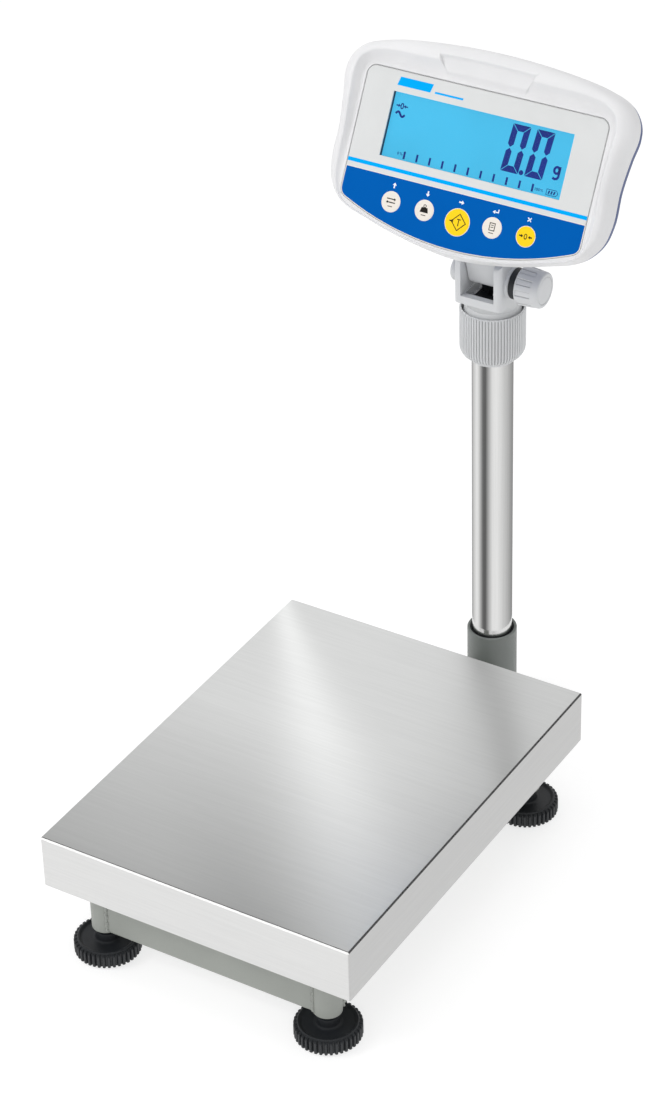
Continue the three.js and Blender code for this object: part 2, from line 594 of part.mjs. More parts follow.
for (const [side, place] of [[-1, 'lower'], [1, 'upper']]) {
  boltRow(side).forEach((y, i) => {
    const bolt = piece(`cell_bolt_${place}_${i + 1}`, cellBolt(side), zinc);
    bolt.position.y = y;
    platform.add(bolt);
  });
}

for (const [name, side] of [['front_rail', -1], ['rear_rail', 1]]) {
  const bar = piece(name, rail(true), framePaint);
  bar.position.y = side * LEG.y;
  platform.add(bar);
}
for (const [name, side] of [['left_rail', -1], ['right_rail', 1]]) {
  const bar = piece(name, rail(false), framePaint);
  bar.position.x = side * LEG.x;
  platform.add(bar);
}

const CORNERS = [['front_left', -1, -1], ['front_right', 1, -1], ['rear_left', -1, 1],
  ['rear_right', 1, 1]];
for (const [place, sx, sy] of CORNERS) {
  const corner = new THREE.Group();
  corner.position.set(sx * LEG.x, sy * LEG.y, 0);
  corner.add(piece(`leg_post_${place}`, legPost(), framePaint));
  corner.add(piece(`foot_wheel_${place}`, footWheel(), blackPlastic));
  corner.add(piece(`foot_stud_${place}`, footStud(), zinc));
  corner.add(piece(`foot_sole_${place}`, footSole(), blackRubber));
  platform.add(corner);
  const pad = piece(`pan_pad_${place}`, panPad(), blackRubber);
  pad.position.set(sx * PAD.x, sy * PAD.y, 0);
  platform.add(pad);
}

const mast = new THREE.Group();
mast.position.y = COLUMN_Y;
scale.add(mast);
mast.add(piece('column_bracket', columnBracket(), framePaint));
mast.add(piece('column_socket', columnSocket(), socketPaint));
mast.add(piece('column_bush', columnBush(), blackPlastic));
mast.add(piece('socket_screw', socketScrew(), zinc));
mast.add(piece('column', column(), polished));
mast.add(piece('collar', collar(), greyPlastic));
mast.add(piece('yoke', yoke(), greyPlastic));

const pivot = new THREE.Group();
pivot.position.set(0, PIVOT.y, PIVOT.z);
mast.add(pivot);
pivot.add(piece('tilt_bolt', tiltBolt(), zinc));
pivot.add(piece('knob_washer', knobWasher(), blackPlastic));
pivot.add(piece('tilt_knob', tiltKnob(), greyPlastic));

// The indicator's own frame: x to the right, y up its face and z out of its face.
const head = new THREE.Group();
head.position.set(0, -FACE.ahead, FACE.height);
head.rotation.x = THREE.MathUtils.degToRad(90 - FACE.lean);
head.updateMatrix();
mast.add(head);
mast.add(piece('tilt_bracket', tiltBracket(head.matrix), greyPlastic));
head.add(piece('front_housing', frontHousing(), whiteShell));
head.add(piece('rear_housing', rearHousing(), navyShell));
head.add(piece('front_panel', frontPanel(), overlay));
head.add(piece('window_lens', windowLens(), clearPlastic));
head.add(piece('display_module', displayModule(), display));
head.add(piece('main_board', mainBoard(), circuit));
head.add(piece('battery_pack', batteryPack(), batteryWrap));
head.add(piece('battery_cover', batteryCover(), navyShell));
head.add(piece('serial_port', serialPort(), zinc));
head.add(piece('power_socket', powerSocket(), blackPlastic));
for (const key of KEYS) {
  head.add(piece(key.name, keyCap(key), finish(key.color, 0.5, 0)));
}

export default scale;
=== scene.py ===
"""A bench scale: a brushed stainless pan on a tube frame with four levelling feet, and an
indicator that swivels and tilts on a column behind it.  Metres, in the frame of the CAD model;
profiles, outlines and other tables of sizes are in millimetres."""

import json
import math

import bmesh
import bpy
from mathutils import Matrix, Vector


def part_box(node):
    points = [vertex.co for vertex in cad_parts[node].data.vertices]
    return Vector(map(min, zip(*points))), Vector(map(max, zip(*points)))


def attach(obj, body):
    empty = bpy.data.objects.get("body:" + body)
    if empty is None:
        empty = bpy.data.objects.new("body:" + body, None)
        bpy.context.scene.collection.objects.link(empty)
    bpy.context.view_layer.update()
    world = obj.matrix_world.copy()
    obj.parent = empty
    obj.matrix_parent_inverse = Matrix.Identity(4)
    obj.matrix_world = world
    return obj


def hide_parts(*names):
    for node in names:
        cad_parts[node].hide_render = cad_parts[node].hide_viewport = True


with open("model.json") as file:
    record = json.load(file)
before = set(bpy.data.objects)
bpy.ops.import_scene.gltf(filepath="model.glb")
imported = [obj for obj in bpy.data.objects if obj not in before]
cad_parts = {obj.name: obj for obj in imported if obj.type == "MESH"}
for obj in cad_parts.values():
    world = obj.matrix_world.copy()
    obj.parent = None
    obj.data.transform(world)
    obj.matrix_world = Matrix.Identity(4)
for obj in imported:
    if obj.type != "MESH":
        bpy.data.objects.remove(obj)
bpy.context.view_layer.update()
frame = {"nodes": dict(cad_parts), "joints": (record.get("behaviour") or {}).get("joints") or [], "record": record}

MM = 0.001
TURN = 2 * math.pi
CORNERS = ("front_left", "front_right", "rear_left", "rear_right")
scene = bpy.context.scene
joints = {joint["name"]: joint for joint in frame["joints"]}
SLOT_OF = {part["node"]: part["material_slot"] for part in frame["record"]["subparts"]}


def centre_of(node):
    low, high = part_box(node)
    return (low + high) / 2


def over(node):
    """A shift to a node's place on the ground plane."""
    centre = centre_of(node)
    return Matrix.Translation((centre.x, centre.y, 0))


COLUMN = over("column")


# ---- camera --------------------------------------------------------------------------------------
# Aimed at the middle of the pan's top; the offsets slide the view to frame the whole object.
CAMERA = {"azimuth": 32.056, "elevation": 33.824, "roll": -1.72, "distance": 2.8670,
          "across": 0.0122, "up": 0.18255, "lens": 109.61}


def make_camera():
    azimuth, elevation = math.radians(CAMERA["azimuth"]), math.radians(CAMERA["elevation"])
    right = Vector((math.cos(azimuth), math.sin(azimuth), 0))
    back = Vector((math.sin(azimuth) * math.cos(elevation),
                   -math.cos(azimuth) * math.cos(elevation), math.sin(elevation)))
    turn = Matrix.Rotation(math.radians(CAMERA["roll"]), 3, back)
    right = turn @ right
    up = back.cross(right)
    low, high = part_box("weighing_pan")
    target = Vector(((low.x + high.x) / 2, (low.y + high.y) / 2, high.z))
    place = target + right * CAMERA["across"] + up * CAMERA["up"] + back * CAMERA["distance"]
    data = bpy.data.cameras.new("camera")
    data.lens, data.sensor_width = CAMERA["lens"], 36
    camera = bpy.data.objects.new("camera", data)
    basis = Matrix((right, up, back)).transposed().to_4x4()
    camera.matrix_world = Matrix.Translation(place) @ basis
    scene.collection.objects.link(camera)
    scene.camera = camera


# ---- material helpers ----------------------------------------------------------------------------
class Shader:
    """A principled material and the few nodes that give it grain."""

    def __init__(self, name, roughness, metallic=0.0, **sockets):
        self.material = bpy.data.materials.new(name)
        self.material.use_nodes = True
        self.tree = self.material.node_tree
        self.surface = self.tree.nodes["Principled BSDF"]
        self.surface.inputs["Roughness"].default_value = roughness
        self.surface.inputs["Metallic"].default_value = metallic
        for socket, value in sockets.items():
            self.surface.inputs[socket.replace("_", " ")].default_value = value
        self.where = self.node("ShaderNodeTexCoord").outputs["Object"]

    def node(self, kind, **settings):
        made = self.tree.nodes.new(kind)
        for name, value in settings.items():
            setattr(made, name, value)
        return made

    def link(self, source, target):
        self.tree.links.new(source, target)

    def noise(self, scale, stretch=(1, 1, 1), detail=3.0, turn=(0, 0, 0)):
        """Noise at a number of cells per metre, drawn out along the axes with a small stretch."""
        mapping = self.node("ShaderNodeMapping")
        mapping.inputs["Scale"].default_value = [scale * s for s in stretch]
        mapping.inputs["Rotation"].default_value = turn
        texture = self.node("ShaderNodeTexNoise")
        texture.inputs["Scale"].default_value = 1
        texture.inputs["Detail"].default_value = detail
        self.link(self.where, mapping.inputs["Vector"])
        self.link(mapping.outputs["Vector"], texture.inputs["Vector"])
        return texture.outputs["Fac"]

    def ramp(self, factor, low, high, ends=(0.35, 0.65)):
        """Blends from one value to another as the factor goes from one end to the other."""
        ramp = self.node("ShaderNodeValToRGB")
        ramp.color_ramp.elements[0].position, ramp.color_ramp.elements[1].position = ends
        for element, value in zip(ramp.color_ramp.elements, (low, high)):
            element.color = value if hasattr(value, "__len__") else (value, value, value, 1)
        self.link(factor, ramp.inputs["Fac"])
        return ramp.outputs["Color"]

    def colour(self, base, factor, spread=0.04):
        """The base colour, a little darker and lighter where the factor is low and high."""
        low = [c * (1 - spread) for c in base] + [1]
        high = [min(c * (1 + spread), 1) for c in base] + [1]
        self.link(self.ramp(factor, low, high), self.surface.inputs["Base Color"])

    def bump(self, height, distance, strength=1.0):
        bump = self.node("ShaderNodeBump")
        bump.inputs["Strength"].default_value = strength
        bump.inputs["Distance"].default_value = distance
        self.link(height, bump.inputs["Height"])
        self.link(bump.outputs["Normal"], self.surface.inputs["Normal"])

    def maths(self, operation, a, b=None, c=None):
        made = self.node("ShaderNodeMath", operation=operation)
        for socket, value in zip(made.inputs, (a, b, c)):
            if isinstance(value, (int, float)):
                socket.default_value = value
            elif value is not None:
                self.link(value, socket)
        return made.outputs[0]

    def painted_sheen(self):
        """Painted sheen on the pan: light and dark areas painted into its base colour that stand in for
        the studio's reflections in the brushed steel.  A painted bright band spreads out from the back
        left corner, the front and the right side are painted dimmer, the dimmest painted part lies in
        front of the band, and a painted dim streak crosses the back right corner."""
        low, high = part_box("weighing_pan")
        parts = self.node("ShaderNodeSeparateXYZ")
        self.link(self.where, parts.inputs["Vector"])
        x = self.maths("SUBTRACT", parts.outputs["X"], low.x)
        y = self.maths("SUBTRACT", high.y, parts.outputs["Y"])
        out = self.across(x, y, SHEEN_PAINT["bearing"] - 90, 0)
        aside = self.across(x, y, SHEEN_PAINT["bearing"], SHEEN_PAINT["band_from"])
        width = self.maths("MULTIPLY_ADD", out, SHEEN_PAINT["spread"], SHEEN_PAINT["band_width"])
        front = self.maths("MAXIMUM", self.maths("SUBTRACT", y, SHEEN_PAINT["front_from"]), 0)
        dim_patch = self.hump(self.maths("ADD", aside, SHEEN_PAINT["dim_patch_from"]), SHEEN_PAINT["dim_patch_width"])
        streak = self.across(x, y, SHEEN_PAINT["streak_bearing"], SHEEN_PAINT["streak_from"])
        painted_sheen = {"band": self.hump(aside, width), "front": front,
                "right": self.maths("MAXIMUM", self.maths("SUBTRACT", x, SHEEN_PAINT["right_from"]), 0),
                "dim_patch": self.maths("MULTIPLY", dim_patch, front),
                "streak": self.hump(streak, SHEEN_PAINT["streak_width"])}
        brightness = SHEEN_PAINT["level"]
        for name, fan in painted_sheen.items():
            brightness = self.maths("MULTIPLY_ADD", fan, SHEEN_PAINT[name], brightness)
        scaled = self.node("ShaderNodeVectorMath", operation="SCALE")
        base = self.surface.inputs["Base Color"]
        self.link(base.links[0].from_socket, scaled.inputs["Vector"])
        self.link(brightness, scaled.inputs["Scale"])
        self.link(scaled.outputs["Vector"], base)

    def across(self, x, y, bearing, start):
        """The distance from a line that runs at a bearing off the Y axis through x = start."""
        turn = math.radians(bearing)
        sideways = self.maths("MULTIPLY", self.maths("SUBTRACT", x, start), math.cos(turn))
        return self.maths("SUBTRACT", sideways, self.maths("MULTIPLY", y, math.sin(turn)))

    def hump(self, distance, width):
        """A bell-shaped bump of height 1 over a distance of about the width."""
        ratio = self.maths("DIVIDE", distance, width)
        square = self.maths("MULTIPLY", ratio, ratio)
        return self.maths("EXPONENT", self.maths("MULTIPLY", square, -1))

    def rough(self, factor, low, high):
        self.link(self.ramp(factor, low, high), self.surface.inputs["Roughness"])


def moulded(name, base, roughness=0.45, grain=1400, depth=0.00003, spread=0.025):
    """Plastic from a spark-eroded mould: fine even grain, and a faint cloudiness."""
    shader = Shader(name, roughness)
    shader.colour(base, shader.noise(25, detail=4), spread)
    fine = shader.noise(grain, detail=2)
    shader.rough(fine, roughness - 0.05, roughness + 0.06)
    shader.bump(fine, depth, 0.5)
    return shader.material


def brushed(name, base, along, axis, roughness=0.3, anisotropic=0.5, with_painted_sheen=False):
    """Brushed steel.  The grain runs along X (0), or level on every side (None), and its
    tangents go round the given axis of the piece.  A sheet with painted sheen gets light and dark
    areas painted into its colour, as painted reflections."""
    shader = Shader(name, roughness, metallic=1.0, Anisotropic=anisotropic)
    stretch = (0.03, 1, 1) if along == 0 else (0.03, 0.03, 1)
    fine = shader.noise(3400, stretch, detail=2)
    broad = shader.noise(500, stretch, detail=5)
    shader.colour(base, broad, 0.02)
    shader.rough(fine, roughness - 0.02, roughness + 0.03)
    shader.bump(fine, 0.000004, 0.2)
    # Painted reflections: light and dark areas scale the base colour.
    if with_painted_sheen:
        shader.painted_sheen()
    tangent = shader.node("ShaderNodeTangent", direction_type="RADIAL", axis=axis)
    shader.link(tangent.outputs["Tangent"], shader.surface.inputs["Tangent"])
    return shader.material


def painted(name, base, roughness=0.42):
    """Powder coat: an even colour with a slight orange peel."""
    shader = Shader(name, roughness)
    shader.colour(base, shader.noise(18, detail=3), 0.035)
    peel = shader.noise(520, detail=1)
    shader.rough(peel, roughness - 0.04, roughness + 0.08)
    shader.bump(peel, 0.00006, 0.35)
    return shader.material


def plated(name, base, roughness=0.32):
    """Zinc plating with a faint mottle."""
    shader = Shader(name, roughness, metallic=1.0)
    mottle = shader.noise(300, detail=4)
    shader.colour(base, mottle, 0.08)
    shader.rough(mottle, roughness - 0.06, roughness + 0.1)
    return shader.material


def polished_tube():
    """Drawn and polished stainless, with hair-fine lines along its length."""
    shader = Shader("polished_tube", 0.14, metallic=1.0)
    lines = shader.noise(900, (1, 1, 0.01), detail=2)
    shader.colour((0.66, 0.66, 0.655), lines, 0.02)
    shader.rough(lines, 0.12, 0.17)
    shader.bump(lines, 0.000004, 0.2)
    return shader.material


def rubber(name, base):
    shader = Shader(name, 0.8)
    dust = shader.noise(700, detail=4)
    shader.colour(base, dust, 0.2)
    shader.rough(dust, 0.7, 0.92)
    shader.bump(dust, 0.00006, 0.4)
    return shader.material


def printed(name, base, roughness=0.38, spread=0.012):
    """Ink on the back of a satin polycarbonate sheet."""
    shader = Shader(name, roughness, Specular_IOR_Level=0.03)
    fine = shader.noise(2200, detail=1)
    shader.colour(base, shader.noise(40, detail=2), spread)
    shader.rough(fine, roughness - 0.04, roughness + 0.05)
    shader.bump(fine, 0.00001, 0.3)
    return shader.material


def glowing(name, base, strength):
    """The back-lit face of the display, slightly uneven."""
    shader = Shader(name, 0.35, Specular_IOR_Level=0.1)
    cloud = shader.noise(14, detail=1)
    shader.colour([c * 0.12 for c in base], cloud, 0.03)
    dim, bright = ([min(c * share, 1) for c in base] + [1] for share in (0.96, 1.04))
    shader.link(shader.ramp(cloud, dim, bright), shader.surface.inputs["Emission Color"])
    shader.surface.inputs["Emission Strength"].default_value = strength
    return shader.material


def clear(name):
    """A thin clear window that mostly lets light straight through."""
    shader = Shader(name, 0.06, Alpha=0.045, Specular_IOR_Level=0.2)
    haze = shader.noise(60, detail=2)
    shader.colour((0.2, 0.24, 0.3), haze, 0.02)
    shader.rough(haze, 0.04, 0.09)
    return shader.material


def floor_paper():
    shader = Shader("floor_paper", 0.9, Specular_IOR_Level=0.1)
    shader.colour((0.38, 0.38, 0.38), shader.noise(3), 0.004)
    shader.surface.inputs["Emission Color"].default_value = (1, 1, 1, 1)
    shader.surface.inputs["Emission Strength"].default_value = 0.72
    return shader.material


def board(name):
    shader = Shader(name, 0.4)
    tracks = shader.noise(420, (1, 0.2, 1), detail=1)
    shader.colour((0.03, 0.20, 0.09), tracks, 0.35)
    shader.bump(tracks, 0.00005, 0.4)
    return shader.material


# Painted sheen on the pan's top.  Bearings in degrees off the pan's length, distances and widths in
# metres, the rest as shares of the sheet's own brightness.
SHEEN_PAINT = {"level": 1.05, "bearing": 40.6, "band": 0.26, "band_from": -0.013, "band_width": 0.008,
        "spread": 0.115, "front": -1.35, "front_from": 0.17, "right": -0.25, "right_from": 0.195,
        "dim_patch": -0.65, "dim_patch_from": 0.085, "dim_patch_width": 0.06, "streak": -0.24,
        "streak_bearing": 34, "streak_from": 0.2105, "streak_width": 0.018}

FINISH = {
    # The pan's top carries painted sheen: light and dark areas in its colour stand in for reflections.
    "pan_top": brushed("pan_top", (0.64, 0.645, 0.64), 0, "Y", with_painted_sheen=True),
    "pan_side": brushed("pan_side", (0.68, 0.68, 0.675), None, "Z"),
    # A painted highlight and a painted dark reflection for the pan's folded edges, in place of the studio's
    # reflections in them.
    "painted_fold_highlight": moulded("painted_fold_highlight", (0.93, 0.93, 0.92), 0.3),
    "painted_fold_dark_reflection": plated("painted_fold_dark_reflection", (0.13, 0.13, 0.13), 0.3),
    "tube": polished_tube(),
    "aluminium": plated("aluminium", (0.66, 0.67, 0.68), 0.4),
    "zinc": plated("zinc", (0.52, 0.53, 0.54)),
    "frame": painted("frame_paint", (0.31, 0.325, 0.30)),
    "socket": painted("socket_paint", (0.175, 0.19, 0.18)),
    "black": moulded("black_plastic", (0.013, 0.015, 0.018), 0.5, 900, 0.00005, 0.15),
    "rubber": rubber("black_rubber", (0.012, 0.012, 0.013)),
    "grey": moulded("grey_plastic", (0.65, 0.66, 0.67), 0.42),
    # A darker copy of the grey plastic: painted shade in grooves and recesses.
    "grey_painted_shade": moulded("grey_painted_groove_shade", (0.48, 0.485, 0.49), 0.6),
    "white": moulded("white_shell", (0.735, 0.735, 0.745), 0.4),
    "navy": moulded("navy_shell", (0.020, 0.055, 0.21), 0.42),
    "overlay": printed("overlay_grey", (0.655, 0.665, 0.665)),
    "overlay_edge": printed("overlay_edge", (0.45, 0.46, 0.46)),
    "stripe": printed("overlay_stripe", (0.0, 0.38, 0.87)),
    "blue": printed("overlay_blue", (0.0, 0.10, 0.41)),
    "key_cream": printed("key_cream", (0.78, 0.73, 0.67), 0.4),
    "key_yellow": printed("key_yellow", (0.91, 0.62, 0.018), 0.4),
    "ink": printed("ink_dark", (0.02, 0.018, 0.016), 0.5, 0.1),
    "ink_white": printed("ink_white", (0.82, 0.86, 0.92), 0.5),
    "lit": glowing("display_lit", (0.065, 0.585, 0.945), 0.82),
    "segment": printed("display_segment", (0.004, 0.022, 0.23), 0.4, 0.1),
    # Near-black frame round the display: its own dark colour, and painted shade for the recess of the window.
    "gasket": moulded("display_gasket_and_shade", (0.004, 0.014, 0.05), 0.5),
    "clear": clear("window_clear"),
    "board": board("circuit_board"),
    "wrap": moulded("battery_wrap", (0.02, 0.022, 0.03), 0.3),
    "floor": floor_paper(),
}
FINISH_OF_SLOT = {
    "brushed_stainless": "pan_side", "polished_tube": "tube", "aluminium_plate": "aluminium",
    "cell_body": "aluminium", "zinc_hardware": "zinc", "frame_paint": "frame",
    "socket_paint": "socket", "black_plastic": "black", "black_rubber": "rubber",
    "grey_plastic": "grey", "white_shell": "white", "navy_shell": "navy", "overlay": "overlay",
    "display_glass": "lit", "window_clear": "clear", "key_cream": "key_cream",
    "key_yellow": "key_yellow", "circuit_board": "board", "battery_wrap": "wrap",
}


# ---- mesh helpers --------------------------------------------------------------------------------
# A shape is a list of points and a list of faces.
def mesh_of(name, shape):
    """A closed mesh whose normals point outwards."""
    points, faces = shape
    mesh = bpy.data.meshes.new(name)
    mesh.from_pydata([tuple(point) for point in points], [], faces)
    work = bmesh.new()
    work.from_mesh(mesh)
    bmesh.ops.remove_doubles(work, verts=work.verts, dist=1e-7)
    bmesh.ops.recalc_face_normals(work, faces=work.faces)
    work.to_mesh(mesh)
    work.free()
    return mesh


def placed(name, mesh):
    made = bpy.data.objects.new(name, mesh)
    scene.collection.objects.link(made)
    return made


def build(name, shape, finish, body, replaces=(), sharp=32, place=None):
    """A piece made of a shape or of a combined solid, shaded smooth but for edges sharper than
    an angle, riding on a body."""
    if isinstance(shape, bpy.types.Object):
        mesh = shape.data
        bpy.data.objects.remove(shape)
        mesh.name = name
        mesh.materials.clear()
    else:
        mesh = mesh_of(name, shape)
    if place is not None:
        mesh.transform(place)
    mesh.polygons.foreach_set("use_smooth", [True] * len(mesh.polygons))
    mesh.set_sharp_from_angle(angle=math.radians(sharp))
    return settle(name, mesh, finish, body, replaces)


def settle(name, mesh, finish, body, replaces=()):
    piece = placed(name, mesh)
    for key in ([finish] if isinstance(finish, str) else finish):
        mesh.materials.append(FINISH[key])
    even = piece.modifiers.new("even", "WEIGHTED_NORMAL")
    even.keep_sharp = True
    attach(piece, body)
    if replaces:
        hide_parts(*replaces)
    return piece


def combined(first, others=(), operation="DIFFERENCE", bevel=None):
    """A shape or solid cut by, joined to or met with others, its edges rounded by a width."""
    first, *others = (placed("solid", mesh_of("solid", part)) if isinstance(part, tuple) else part
                      for part in (first, *others))
    for other in others:
        modifier = first.modifiers.new("combine", "BOOLEAN")
        modifier.operation, modifier.solver, modifier.object = operation, "EXACT", other
    if bevel:
        modifier = first.modifiers.new("round", "BEVEL")
        modifier.width, modifier.segments = bevel * MM, 3
        modifier.limit_method, modifier.angle_limit = "ANGLE", math.radians(38)
    graph = bpy.context.evaluated_depsgraph_get()
    mesh = bpy.data.meshes.new_from_object(first.evaluated_get(graph))
    first.modifiers.clear()
    first.data = mesh
    for other in others:
        bpy.data.objects.remove(other)
    return first


def bridge(rings, closed=False, caps=True):
    """A shape through equal rings of points; a closed one joins its last ring to its first."""
    count = len(rings[0])
    points = [point for ring in rings for point in ring]
    faces = []
    for r in range(len(rings) if closed else len(rings) - 1):
        a, b = r * count, (r + 1) % len(rings) * count
        for i in range(count):
            j = (i + 1) % count
            faces.append((a + i, a + j, b + j, b + i))
    if caps and not closed:
        faces.append(tuple(range(count - 1, -1, -1)))
        faces.append(tuple(range(len(points) - count, len(points))))
    return points, faces


def gathered(shapes):
    """Several shapes as one."""
    points, faces = [], []
    for more, extra in shapes:
        faces += [tuple(i + len(points) for i in face) for face in extra]
        points += more
    return points, faces


def rounded(path, radii, steps=5):
    """A path through points with each corner eased over a distance, both ends kept.
    Each corner gives the same number of points, so rings made of such paths match."""
    made = [path[0]]
    for before, corner, after, radius in zip(path, path[1:], path[2:], radii):
        to_before, to_after = before - corner, after - corner
        start = corner + to_before * min(0.48, radius / max(to_before.length, 1e-9))
        end = corner + to_after * min(0.48, radius / max(to_after.length, 1e-9))
        for step in range(steps + 1):
            t = step / steps
            made.append(start * (1 - t) ** 2 + corner * 2 * t * (1 - t) + end * t * t)
    made.append(path[-1])
    return made


def circle(x, y, radius, steps=64):
    return [(x + radius * math.cos(TURN * i / steps), y + radius * math.sin(TURN * i / steps))
            for i in range(steps)]


def level(outline, height):
    """A ring of points at a height over a flat outline."""
    return [Vector((x * MM, y * MM, height * MM)) for x, y in outline]


def turned(profile, steps=96, about=(0, 0), closed=False):
    """A shape turned about a vertical axis from (radius, height) pairs."""
    return bridge([level(circle(*about, radius, steps), height) for radius, height in profile],
                  closed)


def rounded_rect(half_x, half_y, radius, steps=5):
    """Points round a rectangle with round corners."""
    points = []
    for quarter, (sx, sy) in enumerate(((1, 1), (-1, 1), (-1, -1), (1, -1))):
        for step in range(steps + 1):
            angle = (quarter + step / steps) * math.pi / 2
            points.append((sx * (half_x - radius) + radius * math.cos(angle),
                           sy * (half_y - radius) + radius * math.sin(angle)))
    return points


def prism(outline, half):
    """A shape in the YZ plane carried across X, as far to the left as to the right."""
    return bridge([[Vector((x, p[0], p[1])) * MM for p in outline] for x in (-half, half)])


def box(low, high):
    corners = [(low[0], low[1]), (high[0], low[1]), (high[0], high[1]), (low[0], high[1])]
    return bridge([level(corners, height) for height in (low[2], high[2])])


# ---- the set -------------------------------------------------------------------------------------
MIDDLE = Vector((0, 0, 0.25))


def make_stage():
    shape = bmesh.new()
    bmesh.ops.create_grid(shape, x_segments=1, y_segments=1, size=20)
    mesh = bpy.data.meshes.new("floor")
    shape.to_mesh(mesh)
    shape.free()
    floor = placed("floor", mesh)
    mesh.materials.append(FINISH["floor"])


def area_light(name, place, size, power):
    """A square light aimed at the middle of the object."""
    data = bpy.data.lights.new(name, "AREA")
    data.shape = "RECTANGLE"
    data.size = data.size_y = size
    data.energy = power
    light = placed(name, data)
    light.location = place
    light.rotation_euler = (Vector(place) - MIDDLE).to_track_quat("Z", "Y").to_euler()
    light.visible_glossy = False


def make_world():
    """Even white to the camera; to everything else a dim room, brighter overhead."""
    world = bpy.data.worlds.new("studio")
    world.use_nodes = True
    scene.world = world
    tree = world.node_tree
    background = tree.nodes["Background"]
    background.inputs["Strength"].default_value = 1.0
    where, parts, sky, rays, mix = (tree.nodes.new("ShaderNode" + kind) for kind in (
        "TexCoord", "SeparateXYZ", "ValToRGB", "LightPath", "MixRGB"))
    set_stops(sky, ((0, 0.42), (1, 0.62)))
    mix.inputs["Color2"].default_value = (1, 1, 1, 1)
    wire(tree, (where, "Generated", parts, "Vector"), (parts, "Z", sky, "Fac"),
         (rays, "Is Camera Ray", mix, "Fac"), (sky, "Color", mix, "Color1"),
         (mix, "Color", background, "Color"))


def wire(tree, *links):
    for source, output, target, entry in links:
        tree.links.new(source.outputs[output], target.inputs[entry])


def set_stops(ramp, stops):
    """Gives a colour ramp its (position, brightness) pairs."""
    elements = ramp.color_ramp.elements
    while len(elements) < len(stops):
        elements.new(0.5)
    for element, (position, value) in zip(elements, stops):
        element.position, element.color = position, (value, value, value, 1)


def make_lights():
    area_light("key", (-1.7, -1.4, 2.0), 1.2, 26)
    area_light("top", (0.2, 0.3, 2.8), 2.2, 21)
    area_light("fill", (1.5, -2.2, 1.3), 1.4, 13)
    pan = centre_of("weighing_pan")
    away = pan - scene.camera.location
    away = Vector((away.x, away.y, 0)).normalized()
    up = Vector((0, 0, 1))
    card("sheen", pan + away * 0.9 + up * 0.7, -away, (2.2, 1.7), 1.12, 0.45, (1.1, 2.4))
    card("left_card", (-0.35, -0.75, 0.002), up, (1.2, 0.8), 1.12, 1.12, (1, 1))
    card("right_card", (0.62, 0.05, 0.002), up, (0.9, 1.1), 0.8, 0.8, (1, 1))
    make_tent()


def card(name, place, facing, size, middle, edge, reach):
    """A glowing card that only reflections see, brighter or dimmer in its middle than a reach
    across and up from there."""
    half = Vector(size) / 2
    corners = [(sx * half.x, sy * half.y, 0) for sx, sy in ((-1, -1), (1, -1), (1, 1), (-1, 1))]
    made = reflection_only(name, corners, [(0, 1, 2, 3)],
                           glow(name, "SPHERICAL", ((0, edge), (1, middle)), Scale=(*reach, 1)))
    made.location = place
    made.rotation_euler = Vector(facing).to_track_quat("Z", "Y").to_euler()


def glow(name, gradient_type, stops, **mapping):
    """A glowing material whose brightness runs through stops along a gradient, which the mapping
    places, turns and stretches."""
    material = bpy.data.materials.new(name)
    material.use_nodes = True
    tree = material.node_tree
    tree.nodes.clear()
    where, spread, gradient, ramp, light, out = (tree.nodes.new("ShaderNode" + kind) for kind in (
        "TexCoord", "Mapping", "TexGradient", "ValToRGB", "Emission", "OutputMaterial"))
    spread.vector_type = "TEXTURE"
    for socket, value in mapping.items():
        spread.inputs[socket].default_value = value
    gradient.gradient_type = gradient_type
    set_stops(ramp, stops)
    wire(tree, (where, "Object", spread, "Vector"), (spread, "Vector", gradient, "Vector"),
         (gradient, "Color", ramp, "Fac"), (ramp, "Color", light, "Color"),
         (light, "Emission", out, "Surface"))
    return material


def reflection_only(name, points, faces, material):
    """A stage piece that only reflections see."""
    mesh = bpy.data.meshes.new(name)
    mesh.from_pydata([tuple(point) for point in points], [], faces)
    mesh.materials.append(material)
    shape = placed(name, mesh)
    for ray in ("camera", "diffuse", "shadow", "transmission", "volume_scatter"):
        setattr(shape, "visible_" + ray, False)
    return shape


# The tent round the tube: (share of the way round from the far side, left to right past the
# camera; brightness).
TENT = ((0, 0.95), (0.05, 1.1), (0.09, 0.6), (0.12, 0.2), (0.19, 0.42), (0.315, 1.15), (0.345, 1),
        (0.4, 0.2), (0.43, 0.15), (0.5, 1.08), (0.545, 1.14), (0.62, 0.85), (0.75, 0.43),
        (0.86, 0.25), (0.91, 0.8), (0.96, 1.1), (1, 0.95))
TENT_RADIUS, TENT_BOTTOM, TENT_TOP = 26, 81, 369


def make_tent():
    """The white card with dark strips that stands round polished metal in a studio.  Only the
    tube's reflections see it."""
    centre = centre_of("column")
    toward = math.atan2(scene.camera.location.y - centre.y, scene.camera.location.x - centre.x)
    outline = circle(centre.x / MM, centre.y / MM, TENT_RADIUS, 120)
    wall = bridge([level(outline, height) for height in (TENT_BOTTOM, TENT_TOP)], caps=False)
    reflection_only("tent", *wall, glow("tent", "RADIAL", TENT, Location=centre,
                                        Rotation=(0, 0, toward)))


# ---- platform ------------------------------------------------------------------------------------
SHEET = 1.5                     # thickness of the pan
TUBE_CORNER = 3
INTO_POST = 3.5                 # how far a rail runs on inside the outside of the post
POST = {"radius": 12.5, "bore": 5.8, "bore_top": 60}
BEAD = {"steps": 117, "bottom": 28.5, "pitch": 1 / 3}


def sizes(node):
    """A node's middle and half size, and its bottom and top, in millimetres."""
    low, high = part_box(node)
    return (low + high) / 2 / MM, (high - low) / 2 / MM, low.z / MM, high.z / MM


